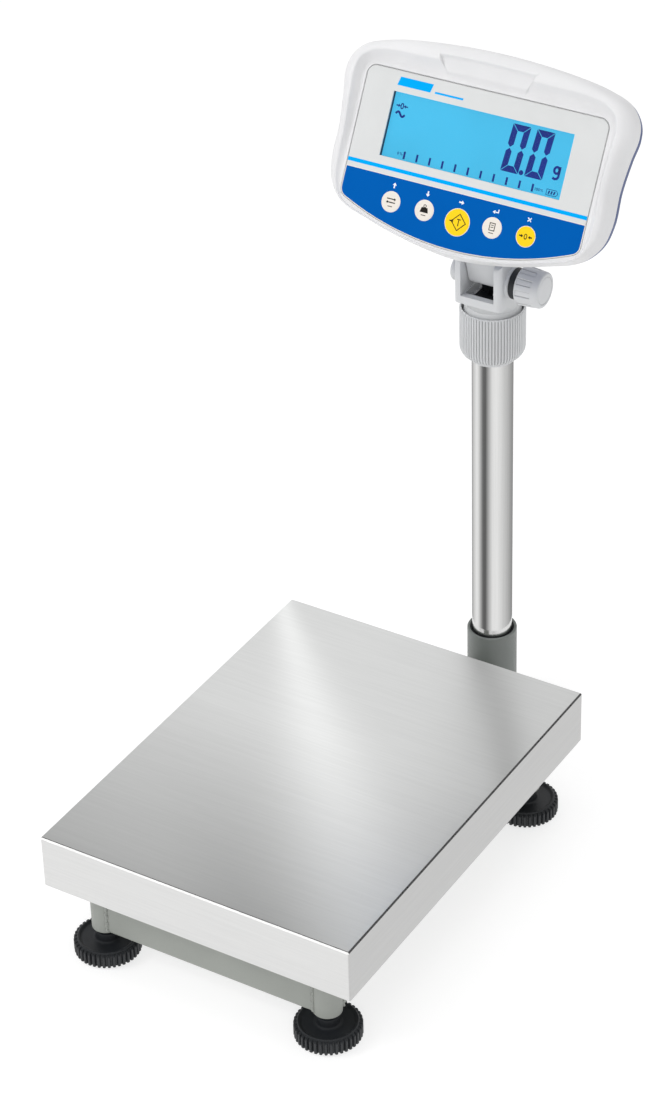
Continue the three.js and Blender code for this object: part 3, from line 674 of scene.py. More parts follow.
def make_pan():
    _, half, bottom, top = sizes("weighing_pan")
    # (inset from the outside, height) round one edge of the folded sheet, from inside to outside
    section = [(9, top - SHEET), (2.7, top - SHEET), (1.95, top - SHEET - 0.1),
               (SHEET, top - SHEET - 0.6), (SHEET, bottom + 0.3), (1.2, bottom), (0.3, bottom),
               (0, bottom + 0.3), (0, top - 1.9), (0.1, top - 1.2), (0.38, top - 0.6),
               (0.85, top - 0.2), (1.5, top), (9, top)]
    rings = [level(rounded_rect(half.x - inset, half.y - inset, max(0.5, 1.6 - inset)), height)
             for inset, height in section]
    pan = build("pan", bridge(rings), ("pan_top", "pan_side", "painted_fold_highlight", "painted_fold_dark_reflection"), "pan",
                ["weighing_pan"], place=over("weighing_pan"), sharp=50)
    # The folds take the painted highlight and the painted dark reflection.
    for face in pan.data.polygons:
        face.material_index = pan_finish(face.normal)


def pan_finish(normal):
    """Which of the pan's finishes a face takes: top 0, skirts 1, a painted highlight on the front
    fold 2, a painted dark reflection above it and on the right fold 3.
    """
    if abs(normal.z) > 0.99 or normal.z < 0.05:
        return 0 if abs(normal.z) > 0.7 else 1
    if normal.y < -abs(normal.x):
        return 2 if normal.z < 0.9 else 3
    if normal.x > abs(normal.y) and normal.z > 0.3:
        return 3
    return 0 if normal.z > 0.7 else 1


def make_tube(name, node, axis, longer=0.0, shorter=0.0):
    """A tube of rounded rectangular section along X (0) or Y (1).  It takes a node's place, longer
    at both ends or shorter at its far end."""
    middle, half, *_ = sizes(node)
    across = 1 - axis
    rings = []
    for end in (-half[axis] - longer, half[axis] + longer - shorter):
        ring = []
        for a, b in rounded_rect(half[across], half.z, TUBE_CORNER):
            point = Vector((0, 0, middle.z + b))
            point[axis] = middle[axis] + end
            point[across] = middle[across] + a
            ring.append(point * MM)
        rings.append(ring)
    build(name, bridge(rings), "frame", "base", [node])


def make_frame():
    for node, axis in (("front_rail", 0), ("rear_rail", 0), ("left_rail", 1), ("right_rail", 1)):
        make_tube(node + "_tube", node, axis, longer=INTO_POST)
    make_tube("beam_tube", "centre_beam", 1)
    make_tube("bracket_tube", "column_bracket", 1, shorter=2)
    for corner in CORNERS:
        post = f"leg_post_{corner}"
        _, _, bottom, top = sizes(post)
        outside, bore = POST["radius"], POST["bore"]
        profile = [(bore, POST["bore_top"]), (bore, bottom + 0.4), (6.2, bottom), (11.7, bottom),
                   (outside, bottom + 0.8), (outside, top - 0.8), (11.7, top), (4, top)]
        build(f"post_{corner}", turned(profile), "frame", "base", [post], place=over(post))
        weld_beads(corner, over(post))


def weld_beads(corner, place):
    """Rippled vertical beads where the rails' outer faces meet the post."""
    side = 1 if place.translation.x > 0 else -1
    row = 1 if place.translation.y > centre_of("weighing_pan").y else -1
    beads = []
    for x, y in ((-side * 7.9, row * 10.1), (side * 10.1, -row * 7.9)):
        rings = []
        for i in range(BEAD["steps"]):
            height = BEAD["bottom"] + i * BEAD["pitch"]
            swell = 1.25 + 0.4 * abs(math.sin(height * 1.25)) + 0.15 * math.sin(height * 0.7)
            swell *= min(1, 0.35 + 0.3 * min(i, BEAD["steps"] - 1 - i))
            drift = 0.35 * math.sin(height * 0.9 + side)
            rings.append(level(circle(x + drift, y, swell, 12), height))
        beads.append(bridge(rings))
    build(f"weld_{corner}", gathered(beads), "frame", "base", sharp=60,
          place=place)


def toothed(section, count, rib, depth):
    """Rings about a vertical axis whose ribs stand out by a depth.
    section: (radius, height, share of the rib's depth); rib: (fraction of a pitch, level)."""
    return [[Vector(((radius - depth * share * (1 - rise)) * math.cos(TURN * (i + part) / count),
                     (radius - depth * share * (1 - rise)) * math.sin(TURN * (i + part) / count),
                     height)) * MM for i in range(count) for part, rise in rib]
            for radius, height, share in section]


WHEEL_RIB = [(-0.5, 0), (-0.33, 0), (-0.3, 0.45), (-0.25, 0.85), (-0.17, 1), (0, 1.03), (0.17, 1),
             (0.25, 0.85), (0.3, 0.45), (0.33, 0)]
WHEEL = [(20, 3.3, 0), (24.3, 3.3, 0), (24.3, 1.2, 0), (26.2, 1.2, 0), (28.2, 1.25, 1),
         (28.8, 1.7, 1), (29, 2.5, 1), (29, 12.2, 1), (28.8, 13.1, 1), (28.2, 13.7, 1),
         (27.2, 14, 0.8), (26.3, 14.2, 0.2), (25.9, 14.5, 0), (25.6, 15.1, 0), (25.2, 15.5, 0),
         (24.6, 15.55, 0), (24, 15.2, 0), (23.4, 14.5, 0), (22.6, 13.8, 0), (21.4, 13.4, 0),
         (13, 13.2, 0), (11.1, 13.5, 0), (10.2, 14.3, 0), (9.8, 15.4, 0), (9.7, 20.6, 0),
         (9.5, 21.5, 0), (8.9, 21.95, 0), (7.8, 22, 0), (6, 22, 0), (5.3, 21.5, 0), (5.3, 4.7, 0)]
WHEEL_TEETH, TOOTH_DEPTH = 40, 2.1
SOLE = [(0.5, 0), (22.6, 0), (23.6, 0.4), (24, 1.2), (24, 2.8), (23.8, 3), (0.5, 3)]
THREAD = {"radius": 5, "pitch": 1.5, "depth": 0.55, "points": 24, "rings": 8}


def make_feet():
    for corner in CORNERS:
        wheel, sole, stud = (f"foot_{part}_{corner}" for part in ("wheel", "sole", "stud"))
        place = over(wheel)
        rings = toothed(WHEEL, WHEEL_TEETH, WHEEL_RIB, TOOTH_DEPTH)
        build(f"wheel_{corner}", bridge(rings), "black", f"foot_{corner}", [wheel], place=place,
              sharp=38)
        build(f"sole_{corner}_pad", turned(SOLE, 64), "rubber", f"sole_{corner}", [sole],
              place=place)
        build(f"stud_{corner}", threaded(stud), "zinc", f"foot_{corner}", [stud], place=place,
              sharp=70)


def threaded(node):
    """A threaded stud in a node's place: the ring at each height is carried round by the helix."""
    _, _, bottom, top = sizes(node)
    pitch, count = THREAD["pitch"], THREAD["points"]
    steps = int((top - bottom) / pitch * THREAD["rings"])
    rings = []
    for step in range(steps + 1):
        height = bottom + step * pitch / THREAD["rings"]
        taper = 0.5 * (1 - min(1, min(step, steps - step) / 6))
        ring = []
        for i in range(count):
            phase = (height / pitch - i / count) % 1
            radius = THREAD["radius"] - THREAD["depth"] * abs(2 * phase - 1) - taper
            ring.append((radius * math.cos(TURN * i / count), radius * math.sin(TURN * i / count)))
        rings.append(level(ring, height))
    return bridge(rings)


# ---- column --------------------------------------------------------------------------------------
def make_column():
    _, _, bottom, top = sizes("column_socket")
    profiles = {"socket": [(20.3, bottom + 0.3), (20.6, bottom), (22.2, bottom), (23, bottom + 0.8),
                           (23, top - 1.0), (22.75, top - 0.4), (22.2, top), (20.8, top),
                           (20.3, top - 0.5)],
                "bush": [(18.8, 34), (20, 34), (20, top - 1.4), (19.6, top - 1), (19.2, top - 1),
                         (18.8, top - 1.4)]}
    _, _, bottom, top = sizes("column")
    profiles["tube"] = [(17, bottom), (18.5, bottom), (18.5, top), (17, top)]
    for name, finish, node, steps in (("socket", "socket", "column_socket", 96),
                                      ("bush", "black", "column_bush", 96),
                                      ("tube", "tube", "column", 128)):
        build(name, turned(profiles[name], steps, closed=True), finish, "base", [node],
              place=COLUMN)
    screw = [(0.5, -9), (3, -9), (3, 0.2), (5.6, 0.2), (5.6, 0.7), (5.0, 0.7),
             (5.0, 3.4), (4.5, 4.3), (2.9, 4.3), (2.9, 1.9), (0.5, 1.9)]
    behind = COLUMN.translation.y + 23.3 * MM
    place = Matrix.Translation((0, behind, centre_of("socket_screw").z)) \
        @ Matrix.Rotation(-math.pi / 2, 4, "X")
    build("socket_screw_head", turned(screw, 6), "zinc", "base", ["socket_screw"], place=place,
          sharp=20)


COLLAR_RIB = [(-0.5, 0), (-0.32, 0), (-0.28, 0.8), (-0.2, 1), (0, 1), (0.2, 1), (0.28, 0.8),
              (0.32, 0)]
COLLAR = [(19.2, 405, 0), (19.2, 370.4, 0), (19.6, 370, 0), (20.7, 370, 0), (21.2, 370.5, 0),
          (21.5, 371.4, 0), (22.4, 372.6, 0), (24.4, 374, 0.7), (26.4, 375.6, 1), (27.8, 377.6, 1),
          (28.8, 379.8, 1), (29.2, 382, 1), (29.3, 384.4, 1), (29.3, 418.6, 1),
          (29.15, 419.8, 0.9), (28.85, 420.8, 0.4), (28.4, 421.3, 0), (28, 421.45, 0),
          (27.7, 421.35, 0), (27.4, 420.9, 0), (27.4, 405, 0)]
COLLAR_RIBS, RIB_DEPTH = 66, 1.1
RIBBED, INNER_WALL = range(7, 14), 19       # rows of the collar's faces


def make_collar():
    rings = toothed(COLLAR, COLLAR_RIBS, COLLAR_RIB, RIB_DEPTH)
    ring = build("collar_ring", bridge(rings, closed=True), ("grey", "grey_painted_shade"), "collar",
                 ["collar"], place=COLUMN, sharp=30)
    for i, face in enumerate(ring.data.polygons):
        row, place = divmod(i, COLLAR_RIBS * len(COLLAR_RIB))
        in_groove = place % len(COLLAR_RIB) in (0, len(COLLAR_RIB) - 1)
        # The floors of the grooves between the ribs and the collar's inner wall take the darker grey, as painted
        # shade.
        face.material_index = 1 if row in RIBBED and in_groove or row >= INNER_WALL else 0


YOKE = {"half": 23.3, "slot": 16.3, "front": -28.5, "back": 9, "bottom": 420, "top": 477,
        "slot_floor": 440, "rear_wall": 449, "boss": 26, "pillar_corner": 4.5}
WELL = {"half": 12.4, "front": -18, "back": 4, "floor": 416, "top": 445}    # under the slot
MOUTH = {"half": 15.3, "front": -22, "bottom": 433}                 # where the well opens into it
UNDER_YOKE = [(0.5, 419), (20.5, 419), (23, 423.5), (25.2, 428), (26.9, 431), (28.6, 432.3),
              (32, 432.6), (60, 433), (60, 490), (0.5, 490)]
DOME = [(9, 374), (16.1, 374), (16.5, 374.4), (16.5, 408.4), (26.1, 408.4), (26.4, 408.8),
        (26.4, 414), (25.9, 417), (25.1, 420.6), (23.6, 424.6), (21.5, 428), (18.5, 431),
        (14.5, 433), (9, 434)]
WELL_BOX = box((-WELL["half"], WELL["front"], WELL["floor"]),
               (WELL["half"], WELL["back"], WELL["top"]))


def make_yoke():
    front, back, bottom, top = YOKE["front"], YOKE["back"], YOKE["bottom"], YOKE["top"]
    side = [Vector(p) for p in ((0, bottom), (back, bottom), (back, top), (front, top),
                                (front, bottom), (0, bottom))]
    footprint = [(x, y + (front + back) / 2) for x, y in
                 rounded_rect(YOKE["half"], (back - front) / 2, YOKE["pillar_corner"])]
    pillar = bridge([level(footprint, height) for height in (400, 500)])
    block = combined(prism(rounded(side, [1, 11, 6, 1], 7), YOKE["half"]),
                     [turned(UNDER_YOKE), pillar], "INTERSECT")
    low, sill = YOKE["slot_floor"], YOKE["rear_wall"]
    slot_cut = prism([(front - 5, low), (back - 4, low), (back - 4, sill), (back + 5, sill),
                      (back + 5, top + 5), (front - 5, top + 5)], YOKE["slot"])
    mouth = box((-MOUTH["half"], MOUTH["front"], MOUTH["bottom"]),
                (MOUTH["half"], WELL["back"], WELL["top"]))
    make_disc()
    yoke = combined(block, [slot_cut, mouth, WELL_BOX], bevel=1.3)
    build("yoke_block", yoke, "grey", "yoke", ["yoke"], place=COLUMN)
    make_pivot()


def make_disc():
    """The disc that the collar clamps, with its domed top, and black pieces in its well, a liner
    with a hole for a cable and a block behind it: painted shade that makes the well's inside dark."""
    disc = combined(turned(DOME, closed=True), [WELL_BOX])
    build("yoke_disc", disc, "grey", "yoke", sharp=30, place=COLUMN)
    liner_gap, cable_radius = 0.4, 4
    shade_liner = box((liner_gap - WELL["half"], WELL["front"] + liner_gap, WELL["floor"] + 0.1),
                  (WELL["half"] - liner_gap, WELL["back"] - liner_gap, 432))
    shade_block = box((-11, 0.8, 430), (15, WELL["back"] - 0.2, 447))
    cable_way = turned([(cable_radius, 400), (cable_radius, 450)], 32)
    shade_liner = combined(combined(shade_liner, [shade_block], "UNION"), [cable_way], bevel=0.5)
    # Black pieces in the well: painted shade that darkens its inside.
    build("well_shade_liner", shade_liner, "black", "yoke", place=COLUMN)


def make_pivot():
    """The yoke's bosses and what turns or sits on the tilt's axis."""
    for side, name in ((-1, "boss_left"), (1, "boss_right")):
        boss = lying([(13.1, 0), (14, -0.9), (14, -6)], side)
        build(name, boss, "grey", "yoke")
    cap = [(0.5, 7.5), (5, 7.4), (8.6, 6.9), (10.2, 6.1), (10.9, 5.0), (11, 4), (11, 0.3),
           (4.2, 0.3)]
    build("bolt_cap", lying(cap, -1), "grey", "yoke", ["tilt_bolt"])
    build("bolt_shank", lying([(4, -24), (4, 20)], 1), "zinc", "yoke")
    ring = [(4.3, 0.3), (13.6, 0.3), (14, 0.8), (14, 5.6), (13.6, 6.1), (4.3, 6.1)]
    build("washer", lying(ring, 1, closed=True), "black", "yoke", ["knob_washer"])


PIVOT = Vector(joints["head_tilt"]["pos_m"])


def lying(profile, side, closed=False, steps=72):
    """A shape turned about the pivot's axis from (radius, distance) pairs; the distance runs
    outwards from the boss's face on one side of the yoke."""
    return bridge([[Vector((side * (YOKE["boss"] + along) * MM, PIVOT.y + y * MM, PIVOT.z + z * MM))
                    for y, z in circle(0, 0, radius, steps)] for radius, along in profile], closed)


# (distance from the knob's inner end, radius, depth of the flutes)
KNOB = [(0.2, 4.3, 0), (0.2, 14.4, 0), (0.5, 15.8, 0), (1.3, 17, 0), (2.4, 17.5, 0),
        (2.6, 17.6, 0.8), (15.8, 16.7, 0.8), (16.3, 16.65, 0.4), (16.6, 16.6, 0), (21.4, 16.1, 0),
        (22.4, 15.7, 0), (23.1, 14.9, 0), (23.3, 13.9, 0), (23.3, 12.9, 0), (22.9, 12.6, 0),
        (22.9, 12.1, 0), (23.2, 11.7, 0), (23.3, 10.6, 0), (23.4, 4, 0)]
KNOB_START, FLUTES, FLUTE_TURN, KNOB_POINTS = 32.4, 10, 0.5, 480
FLUTE_ROW, END_GROOVE = 5, 14               # rows of the knob's faces


def make_knob():
    rings = []
    for along, radius, depth in KNOB:
        ring = []
        for i in range(KNOB_POINTS):
            angle = TURN * i / KNOB_POINTS
            wave = math.cos(FLUTES * angle + FLUTE_TURN)
            recess = min(1, max(0, wave * 7)) + math.exp(-(wave / 0.16) ** 2)
            reach = (radius - depth * recess) * MM
            ring.append(Vector(((KNOB_START + along) * MM, PIVOT.y + reach * math.cos(angle),
                                PIVOT.z + reach * math.sin(angle))))
        rings.append(ring)
    knob = build("knob", bridge(rings), ("grey", "grey_painted_shade"), "knob", ["tilt_knob"], sharp=28)
    for i, face in enumerate(knob.data.polygons):
        row, place = divmod(i, KNOB_POINTS)
        wave = math.cos(FLUTES * TURN * (place + 0.5) / KNOB_POINTS + FLUTE_TURN)
        on_edge = row == FLUTE_ROW and abs(wave) < 0.15
        # The groove in the end face and the edges of the flutes take the darker grey, as painted shade.
        face.material_index = 1 if row == END_GROOVE or on_edge else 0


# ---- indicator -----------------------------------------------------------------------------------
# Half outlines from the top centre down the right side, in millimetres on the indicator's face:
# the seam between its halves, the front rim's outside, its crest and the foot of its inner wall.
SEAM_LINE = ((0, 78.4), (60, 75.6), (105, 69), (126, 61.2), (136.3, 49), (138.8, 36), (136, 17),
             (133.6, -10), (134.2, -38), (129.5, -57.5), (115, -73.5), (85, -84), (45, -93.5),
             (0, -98.3))
RIM_LINE = ((0, 70.6), (60, 68.4), (97, 65.6), (116, 60), (126.5, 50.5), (130, 36), (128.6, 17),
            (127, -10), (129, -38), (125.5, -57.5), (113.4, -72.6), (84.2, -82.6), (44.6, -91.6),
            (0, -95.6))
CREST_LINE = ((0, 62.6), (60, 62), (97, 60.6), (112, 57), (121, 50), (124.6, 38), (123.6, 17),
              (122.4, -10), (123, -38), (121, -57), (112, -71.8), (83.6, -81.6), (44.2, -90.2),
              (0, -93.6))
FLOOR_LINE = ((0, 50), (60, 50), (96, 49.6), (108, 48.6), (115.6, 44.5), (118.6, 34),
              (118.4, 17), (118.2, -10), (118.2, -38), (117.6, -58), (110.5, -71.2), (83, -81),
              (44, -89.6), (0, -93))
EYE = -12                       # height on the face of the point that outlines are seen from
PANEL = {"half": 115.3, "top": 46, "bottom": -91, "arc": 285, "corner": 9}
WINDOW = (86.3, 27.75)          # half width and half height
WINDOW_HOLE = (89, 30)
SEAM, RIDGE, BACK = -12, 8, -45             # depths from the panel's face
KEYS = {"key_mode": (-65.2, -63.7, 8.7), "key_unit": (-32.6, -63.7, 8.7),
        "key_tare": (0, -66.5, 11.5), "key_print": (32.6, -63.7, 8.7),
        "key_zero": (64.5, -63.7, 8.7)}     # place on the face and radius
NOTCH = (-46, 41)               # the ends of the pocket in the top of the rim
JACK, PORT = (40, -36), (-30, -36)          # middles on the face
HATCH = {"half": 45, "bottom": 5, "top": 45, "floor": -41}
FLANGE = (16, 6)                # half size of the port's flange
CLEARANCE = 0.3


def head_matrix():
    inward = Vector(joints["key_mode_press"]["axis"]).normalized()
    out, right = -inward, Vector((1, 0, 0))
    up = out.cross(right)
    origin = centre_of("window_lens") + out * 0.75 * MM
    basis = Matrix((right, up, out)).transposed().to_4x4()
    return Matrix.Translation(origin) @ basis


HEAD = head_matrix()


def smooth_loop(half, steps=60):
    """A closed centripetal Catmull-Rom curve through a half outline and its mirror image."""
    loop = [Vector(p) for p in half] + [Vector((-x, y)) for x, y in half[-2:0:-1]]
    made = []
    for i in range(len(loop)):
        p0, p1, p2, p3 = (loop[(i + k - 1) % len(loop)] for k in range(4))
        d0, d1, d2 = ((b - a).length ** 0.5 for a, b in ((p0, p1), (p1, p2), (p2, p3)))
        start = ((p1 - p0) / d0 - (p2 - p0) / (d0 + d1) + (p2 - p1) / d1) * d1
        end = ((p2 - p1) / d1 - (p3 - p1) / (d1 + d2) + (p3 - p2) / d2) * d1
        for step in range(steps):
            t = step / steps
            made.append(p1 * (2 * t**3 - 3 * t**2 + 1) + start * (t**3 - 2 * t**2 + t)
                        + p2 * (3 * t**2 - 2 * t**3) + end * (t**3 - t**2))
    return made


def rect_loop(half_x, half_y, steps=200):
    corners = [Vector((sx * half_x, sy * half_y))
               for sx, sy in ((1, 1), (-1, 1), (-1, -1), (1, -1))]
    return [a.lerp(b, i / steps) for a, b in zip(corners, corners[1:] + corners[:1])
            for i in range(steps)]


def panel_loop(margin=0.0, top=None):
    """The panel's outline: straight sides and top, round corners and a bottom that is one arc."""
    half, corner = PANEL["half"] + margin, PANEL["corner"] + margin
    arc, centre = PANEL["arc"] + margin, PANEL["bottom"] + PANEL["arc"]
    inset = half - corner
    low = centre - math.sqrt((arc - corner) ** 2 - inset ** 2)
    turn = math.asin(inset / (arc - corner))
    high = (PANEL["top"] if top is None else top) + margin
    upper = corner if top is None else 0.3
    points = []

    def sweep(x, y, radius, start, stop, steps):
        for i in range(steps + 1):
            angle = start + (stop - start) * i / steps
            points.append(Vector((x + radius * math.cos(angle), y + radius * math.sin(angle))))

    quarter = math.pi / 2
    sweep(half - upper, high - upper, upper, 0, quarter, 16)
    sweep(upper - half, high - upper, upper, quarter, 2 * quarter, 16)
    sweep(-inset, low, corner, 2 * quarter, 3 * quarter - turn, 16)
    sweep(0, centre, arc, -quarter - turn, -quarter + turn, 90)
    sweep(inset, low, corner, -quarter + turn, 0, 16)
    return points


def bearings():
    """The directions in which outlines are seen: even round the seam, and at the sharp places."""
    loop = smooth_loop(SEAM_LINE)
    angles = {round(math.atan2(p.y - EYE, p.x), 5) for p in loop[::3]}
    sharp = [(sx * x, sy * y) for sx in (-1, 1) for sy in (-1, 1)
             for x, y in (WINDOW, WINDOW_HOLE)]
    sharp += [(end + shift, 62) for end in NOTCH for shift in (-1.5, -0.75, 0, 0.75, 1.5)]
    angles |= {round(math.atan2(y - EYE, x), 5) for x, y in sharp}
    return sorted(angles)


BEARINGS = bearings()


def seen(loop):
    """Points of a closed outline in each bearing, with straight runs between its points."""
    polar = sorted((math.atan2(p.y - EYE, p.x), p.x, p.y - EYE) for p in loop)
    polar = [(polar[-1][0] - TURN, *polar[-1][1:])] + polar + [(polar[0][0] + TURN, *polar[0][1:])]
    made, i = [], 0
    for angle in BEARINGS:
        while polar[i + 1][0] < angle:
            i += 1
        (_, ax, ay), (_, bx, by) = polar[i], polar[i + 1]
        dx, dy = math.cos(angle), math.sin(angle)
        ex, ey = bx - ax, by - ay
        reach = (ax * ey - ay * ex) / (dx * ey - dy * ex)
        made.append(Vector((dx * reach, dy * reach + EYE)))
    return made


def drawn_in(ring, inset):
    across, up = 1 - inset / 136, 1 - inset / 88
    return [Vector((p.x * across, EYE + (p.y - EYE) * up)) for p in ring]


def eased(value, low, high):
    t = min(1, max(0, (value - low) / (high - low)))
    return t * t * (3 - 2 * t)


def raised(point, depth):
    return Vector((point.x * MM, point.y * MM, depth * MM))


def make_front_housing():
    seam, rim, crest, floor = (seen(smooth_loop(line))
                               for line in (SEAM_LINE, RIM_LINE, CREST_LINE, FLOOR_LINE))
    hole = seen(panel_loop(0.3))
    window = seen(rect_loop(*WINDOW_HOLE))
    inner_seam, wall, inner_floor = drawn_in(seam, 2.5), drawn_in(seam, 1.2), drawn_in(floor, 3)
    radii = [r * MM for r in (0.7, 0.9, 6, 5, 1.6, 1.8, 1.6, 2.4, 0.4, 0.2, 0.2, 0.2, 1)]
    sections = []
    for i, p in enumerate(seam):
        height = 2.2 + (RIDGE - 2.2) * eased(p.y, -80, 30)
        into, out_of = (eased(crest[i].x, end - 0.9, end + 0.9) for end in NOTCH)
        pocket = into * (1 - out_of) if crest[i].y > 0 else 0
        top = crest[i].lerp(rim[i], 0.75 * pocket)
        plain = [raised(crest[i].lerp(floor[i], 0.45), height * 0.42),
                 raised(crest[i].lerp(floor[i], 0.8), height * 0.1)]
        scoop = [raised(rim[i].lerp(floor[i], 0.22), 5.0), raised(rim[i].lerp(floor[i], 0.8), 3.4)]
        slope = [a.lerp(b, pocket) for a, b in zip(plain, scoop)]
        path = [raised(inner_seam[i], SEAM + 2), raised(inner_seam[i], SEAM), raised(p, SEAM),
                raised(wall[i], height - 9), raised(rim[i], height - 1.6), raised(top, height),
                *slope, raised(floor[i], 0), raised(hole[i], 0), raised(hole[i], -1.5),
                raised(window[i], -1.5), raised(window[i], -3.8), raised(inner_floor[i], -3.8),
                raised(inner_seam[i], SEAM + 4)]
        sections.append(rounded(path, radii, 4))
    rings = [list(ring) for ring in zip(*sections)]
    build("housing_front", bridge(rings, closed=True), "white", "head", ["front_housing"],
          place=HEAD, sharp=52)


def make_rear_housing():
    seam = seen(smooth_loop(SEAM_LINE))
    stations = [(3.5, SEAM - 0.3), (0.3, SEAM - 0.3), (1.6, -20), (9, -36), (14, -43), (19, BACK),
                (28, BACK)]
    loops = [[raised(p, depth) for p in drawn_in(seam, inset)] for inset, depth in stations]
    sections = [rounded(list(path), [r * MM for r in (0.5, 6, 8, 3, 3)], 5) for path in zip(*loops)]
    half, low, high, floor = HATCH["half"], HATCH["bottom"], HATCH["top"], HATCH["floor"]
    gap, outside = CLEARANCE, BACK - 1
    cutters = [box((-half - gap, low - gap, outside), (half + gap, high + gap, floor)),
               port_box(outside, -40, gap), turned([(6.8, outside), (6.8, -34)], 48, JACK)]
    shell = combined(bridge([list(ring) for ring in zip(*sections)]), cutters)
    build("housing_rear", shell, "navy", "head", ["rear_housing"], sharp=35, place=HEAD)
    cover = combined(box((-half, low, BACK), (half, high, floor - 1)),
                     [box((-9, 36.5, outside), (9, 41.5, -43.6))], bevel=0.6)
    build("cover", cover, "navy", "head", ["battery_cover"], place=HEAD)
    make_ports()


def port_box(low, high, margin=0.0):
    """A box round the serial port's flange, between two depths."""
    across, up = FLANGE[0] + margin, FLANGE[1] + margin
    return box((PORT[0] - across, PORT[1] - up, low), (PORT[0] + across, PORT[1] + up, high))


def make_ports():
    """A nine-pin serial port and a round power socket."""
    flange = combined(port_box(-44.5, -40.5), bevel=0.8)
    build("port_flange", flange, "zinc", "head", ["serial_port"], place=HEAD)
    shell = [(-38.6, -32.2), (-21.4, -32.2), (-22.6, -39.8), (-37.4, -39.8)]
    inner = [(-37.8, -32.9), (-22.2, -32.9), (-23.2, -39.1), (-36.8, -39.1)]
    rings = [level(outline, depth)
             for outline, depth in ((shell, -44), (shell, -49.4), (inner, -49.4), (inner, -45))]
    build("port_shell", bridge(rings), "zinc", "head", place=HEAD, sharp=20)
    pin, pitch = [(0.5, -45), (0.5, -48.4), (0.25, -48.8)], 2.75
    pins = [turned(pin, 10, (PORT[0] + (i - (count - 1) / 2) * pitch, row))
            for row, count in ((-34.7, 5), (-37.4, 4)) for i in range(count)]
    build("port_pins", gathered(pins), "aluminium", "head", place=HEAD)
    jack = [(0.5, -33), (6.5, -33), (6.5, -45.6), (6.1, -46), (4.8, -46), (4.4, -45.6),
            (4.4, -36), (1.1, -36), (1.1, -44), (0.6, -44.6), (0.1, -44.6)]
    build("jack", turned(jack, 48, JACK), "black", "head", ["power_socket"], place=HEAD)


def make_bracket():
    """The neck from the pivot to the indicator, and the plate that it carries."""
    y, z = (PIVOT.y - COLUMN.translation.y) / MM, PIVOT.z / MM
    hub = 8.2
    arc = [(y + hub * math.cos(a), z + hub * math.sin(a))
           for a in (math.radians(200 + 12 * i) for i in range(15))]
    side = arc + [(y + hub, z + 5), (-10, 529), (-14.4, 523), (-29.7, 496)]
    build("neck", combined(prism(side, 15.5), bevel=1.2), "grey", "head", ["tilt_bracket"],
          place=COLUMN)
    plate = combined(box((-30, -84, BACK - 4.6), (30, -46, BACK - 0.3)), bevel=1.2)
    build("neck_plate", plate, "grey", "head", place=HEAD)


# ---- panel, display and keys ---------------------------------------------------------------------
def framed(name, loops, finish, replaces=()):
    """A closed frame through (loop, depth) pairs on the indicator's face."""
    rings = [[raised(p, depth) for p in seen(loop)] for loop, depth in loops]
    build(name, bridge(rings, closed=True), finish, "head", replaces, 30, HEAD)


def make_panel():
    window = rect_loop(*WINDOW)
    framed("panel", ((panel_loop(), -1.2), (panel_loop(), -0.15), (panel_loop(-0.15), 0),
                     (panel_loop(-0.5), 0), (window, 0), (window, -1.2)), "overlay",
           ["front_panel"])
    slab("panel_edge", [panel_loop(-0.15)], -0.6, 0.0, "overlay_edge",
         holed=panel_loop(-0.7))
    w, field_top = PANEL["half"] - 0.6, -41.9
    slab("stripe", [[(-w, -38.3), (w, -38.3), (w, -35), (-w, -35)]], 0.0, 0.03, "stripe")
    slab("blue_edge", [panel_loop(-0.3, field_top)], 0.0, 0.02, "key_cream")
    slab("blue_field", [panel_loop(-0.95, field_top)], 0.0, 0.04, "blue")
    rims = [circle(x, y, radius + 0.3) for x, y, radius in KEYS.values()]
    slab("key_rims", rims, 0.0, 0.06, "key_cream")


def slab(name, outlines, low, high, finish, body="head", holed=None):
    """Thin flat shapes on the indicator's face between two depths."""
    points, faces = [], []
    for outline in outlines:
        count, start = len(outline), len(points)
        points += level(outline, low) + level(outline, high)
        faces += [(start + i, start + (i + 1) % count, start + count + (i + 1) % count,
                   start + count + i) for i in range(count)]
        if holed is None:
            faces.append(tuple(start + count + i for i in range(count)))
            faces.append(tuple(start + count - 1 - i for i in range(count)))
        else:
            inner = len(points)
            points += level(holed, high)
            faces += [(start + count + i, start + count + (i + 1) % count,
                       inner + (i + 1) % count, inner + i) for i in range(count)]
    mesh = bpy.data.meshes.new(name)
    mesh.from_pydata([tuple(HEAD @ p) for p in points], [], faces)
    mesh.update()
    settle(name, mesh, finish, body)


def stroke(points, width, closed=False):
    """Short straight-sided shapes that together draw a line of one width through points."""
    points = [Vector(p) for p in points]
    if closed:
        points = points + points[:2]
    sides = []
    for i, p in enumerate(points):
        before, after = points[max(i - 1, 0)], points[min(i + 1, len(points) - 1)]
        if closed and i == 0:
            before = points[-3]
        a, b = (p - before), (after - p)
        a = a.normalized() if a.length > 0 else b.normalized()
        b = b.normalized() if b.length > 0 else a
        across = Vector((-(a + b).y, (a + b).x)).normalized()
        reach = width / 2 / max(0.35, across.dot(Vector((-b.y, b.x))))
        sides.append((p + across * reach, p - across * reach))
    if closed:
        sides = sides[:-1]
    return [[a[1], b[1], b[0], a[0]] for a, b in zip(sides, sides[1:])]


def strokes(width, *lines):
    return [shape for line in lines for shape in stroke(line, width)]


def ring(x, y, rx, ry, width, steps=24):
    return stroke([(x + rx * math.cos(TURN * i / steps), y + ry * math.sin(TURN * i / steps))
                   for i in range(steps)], width, closed=True)


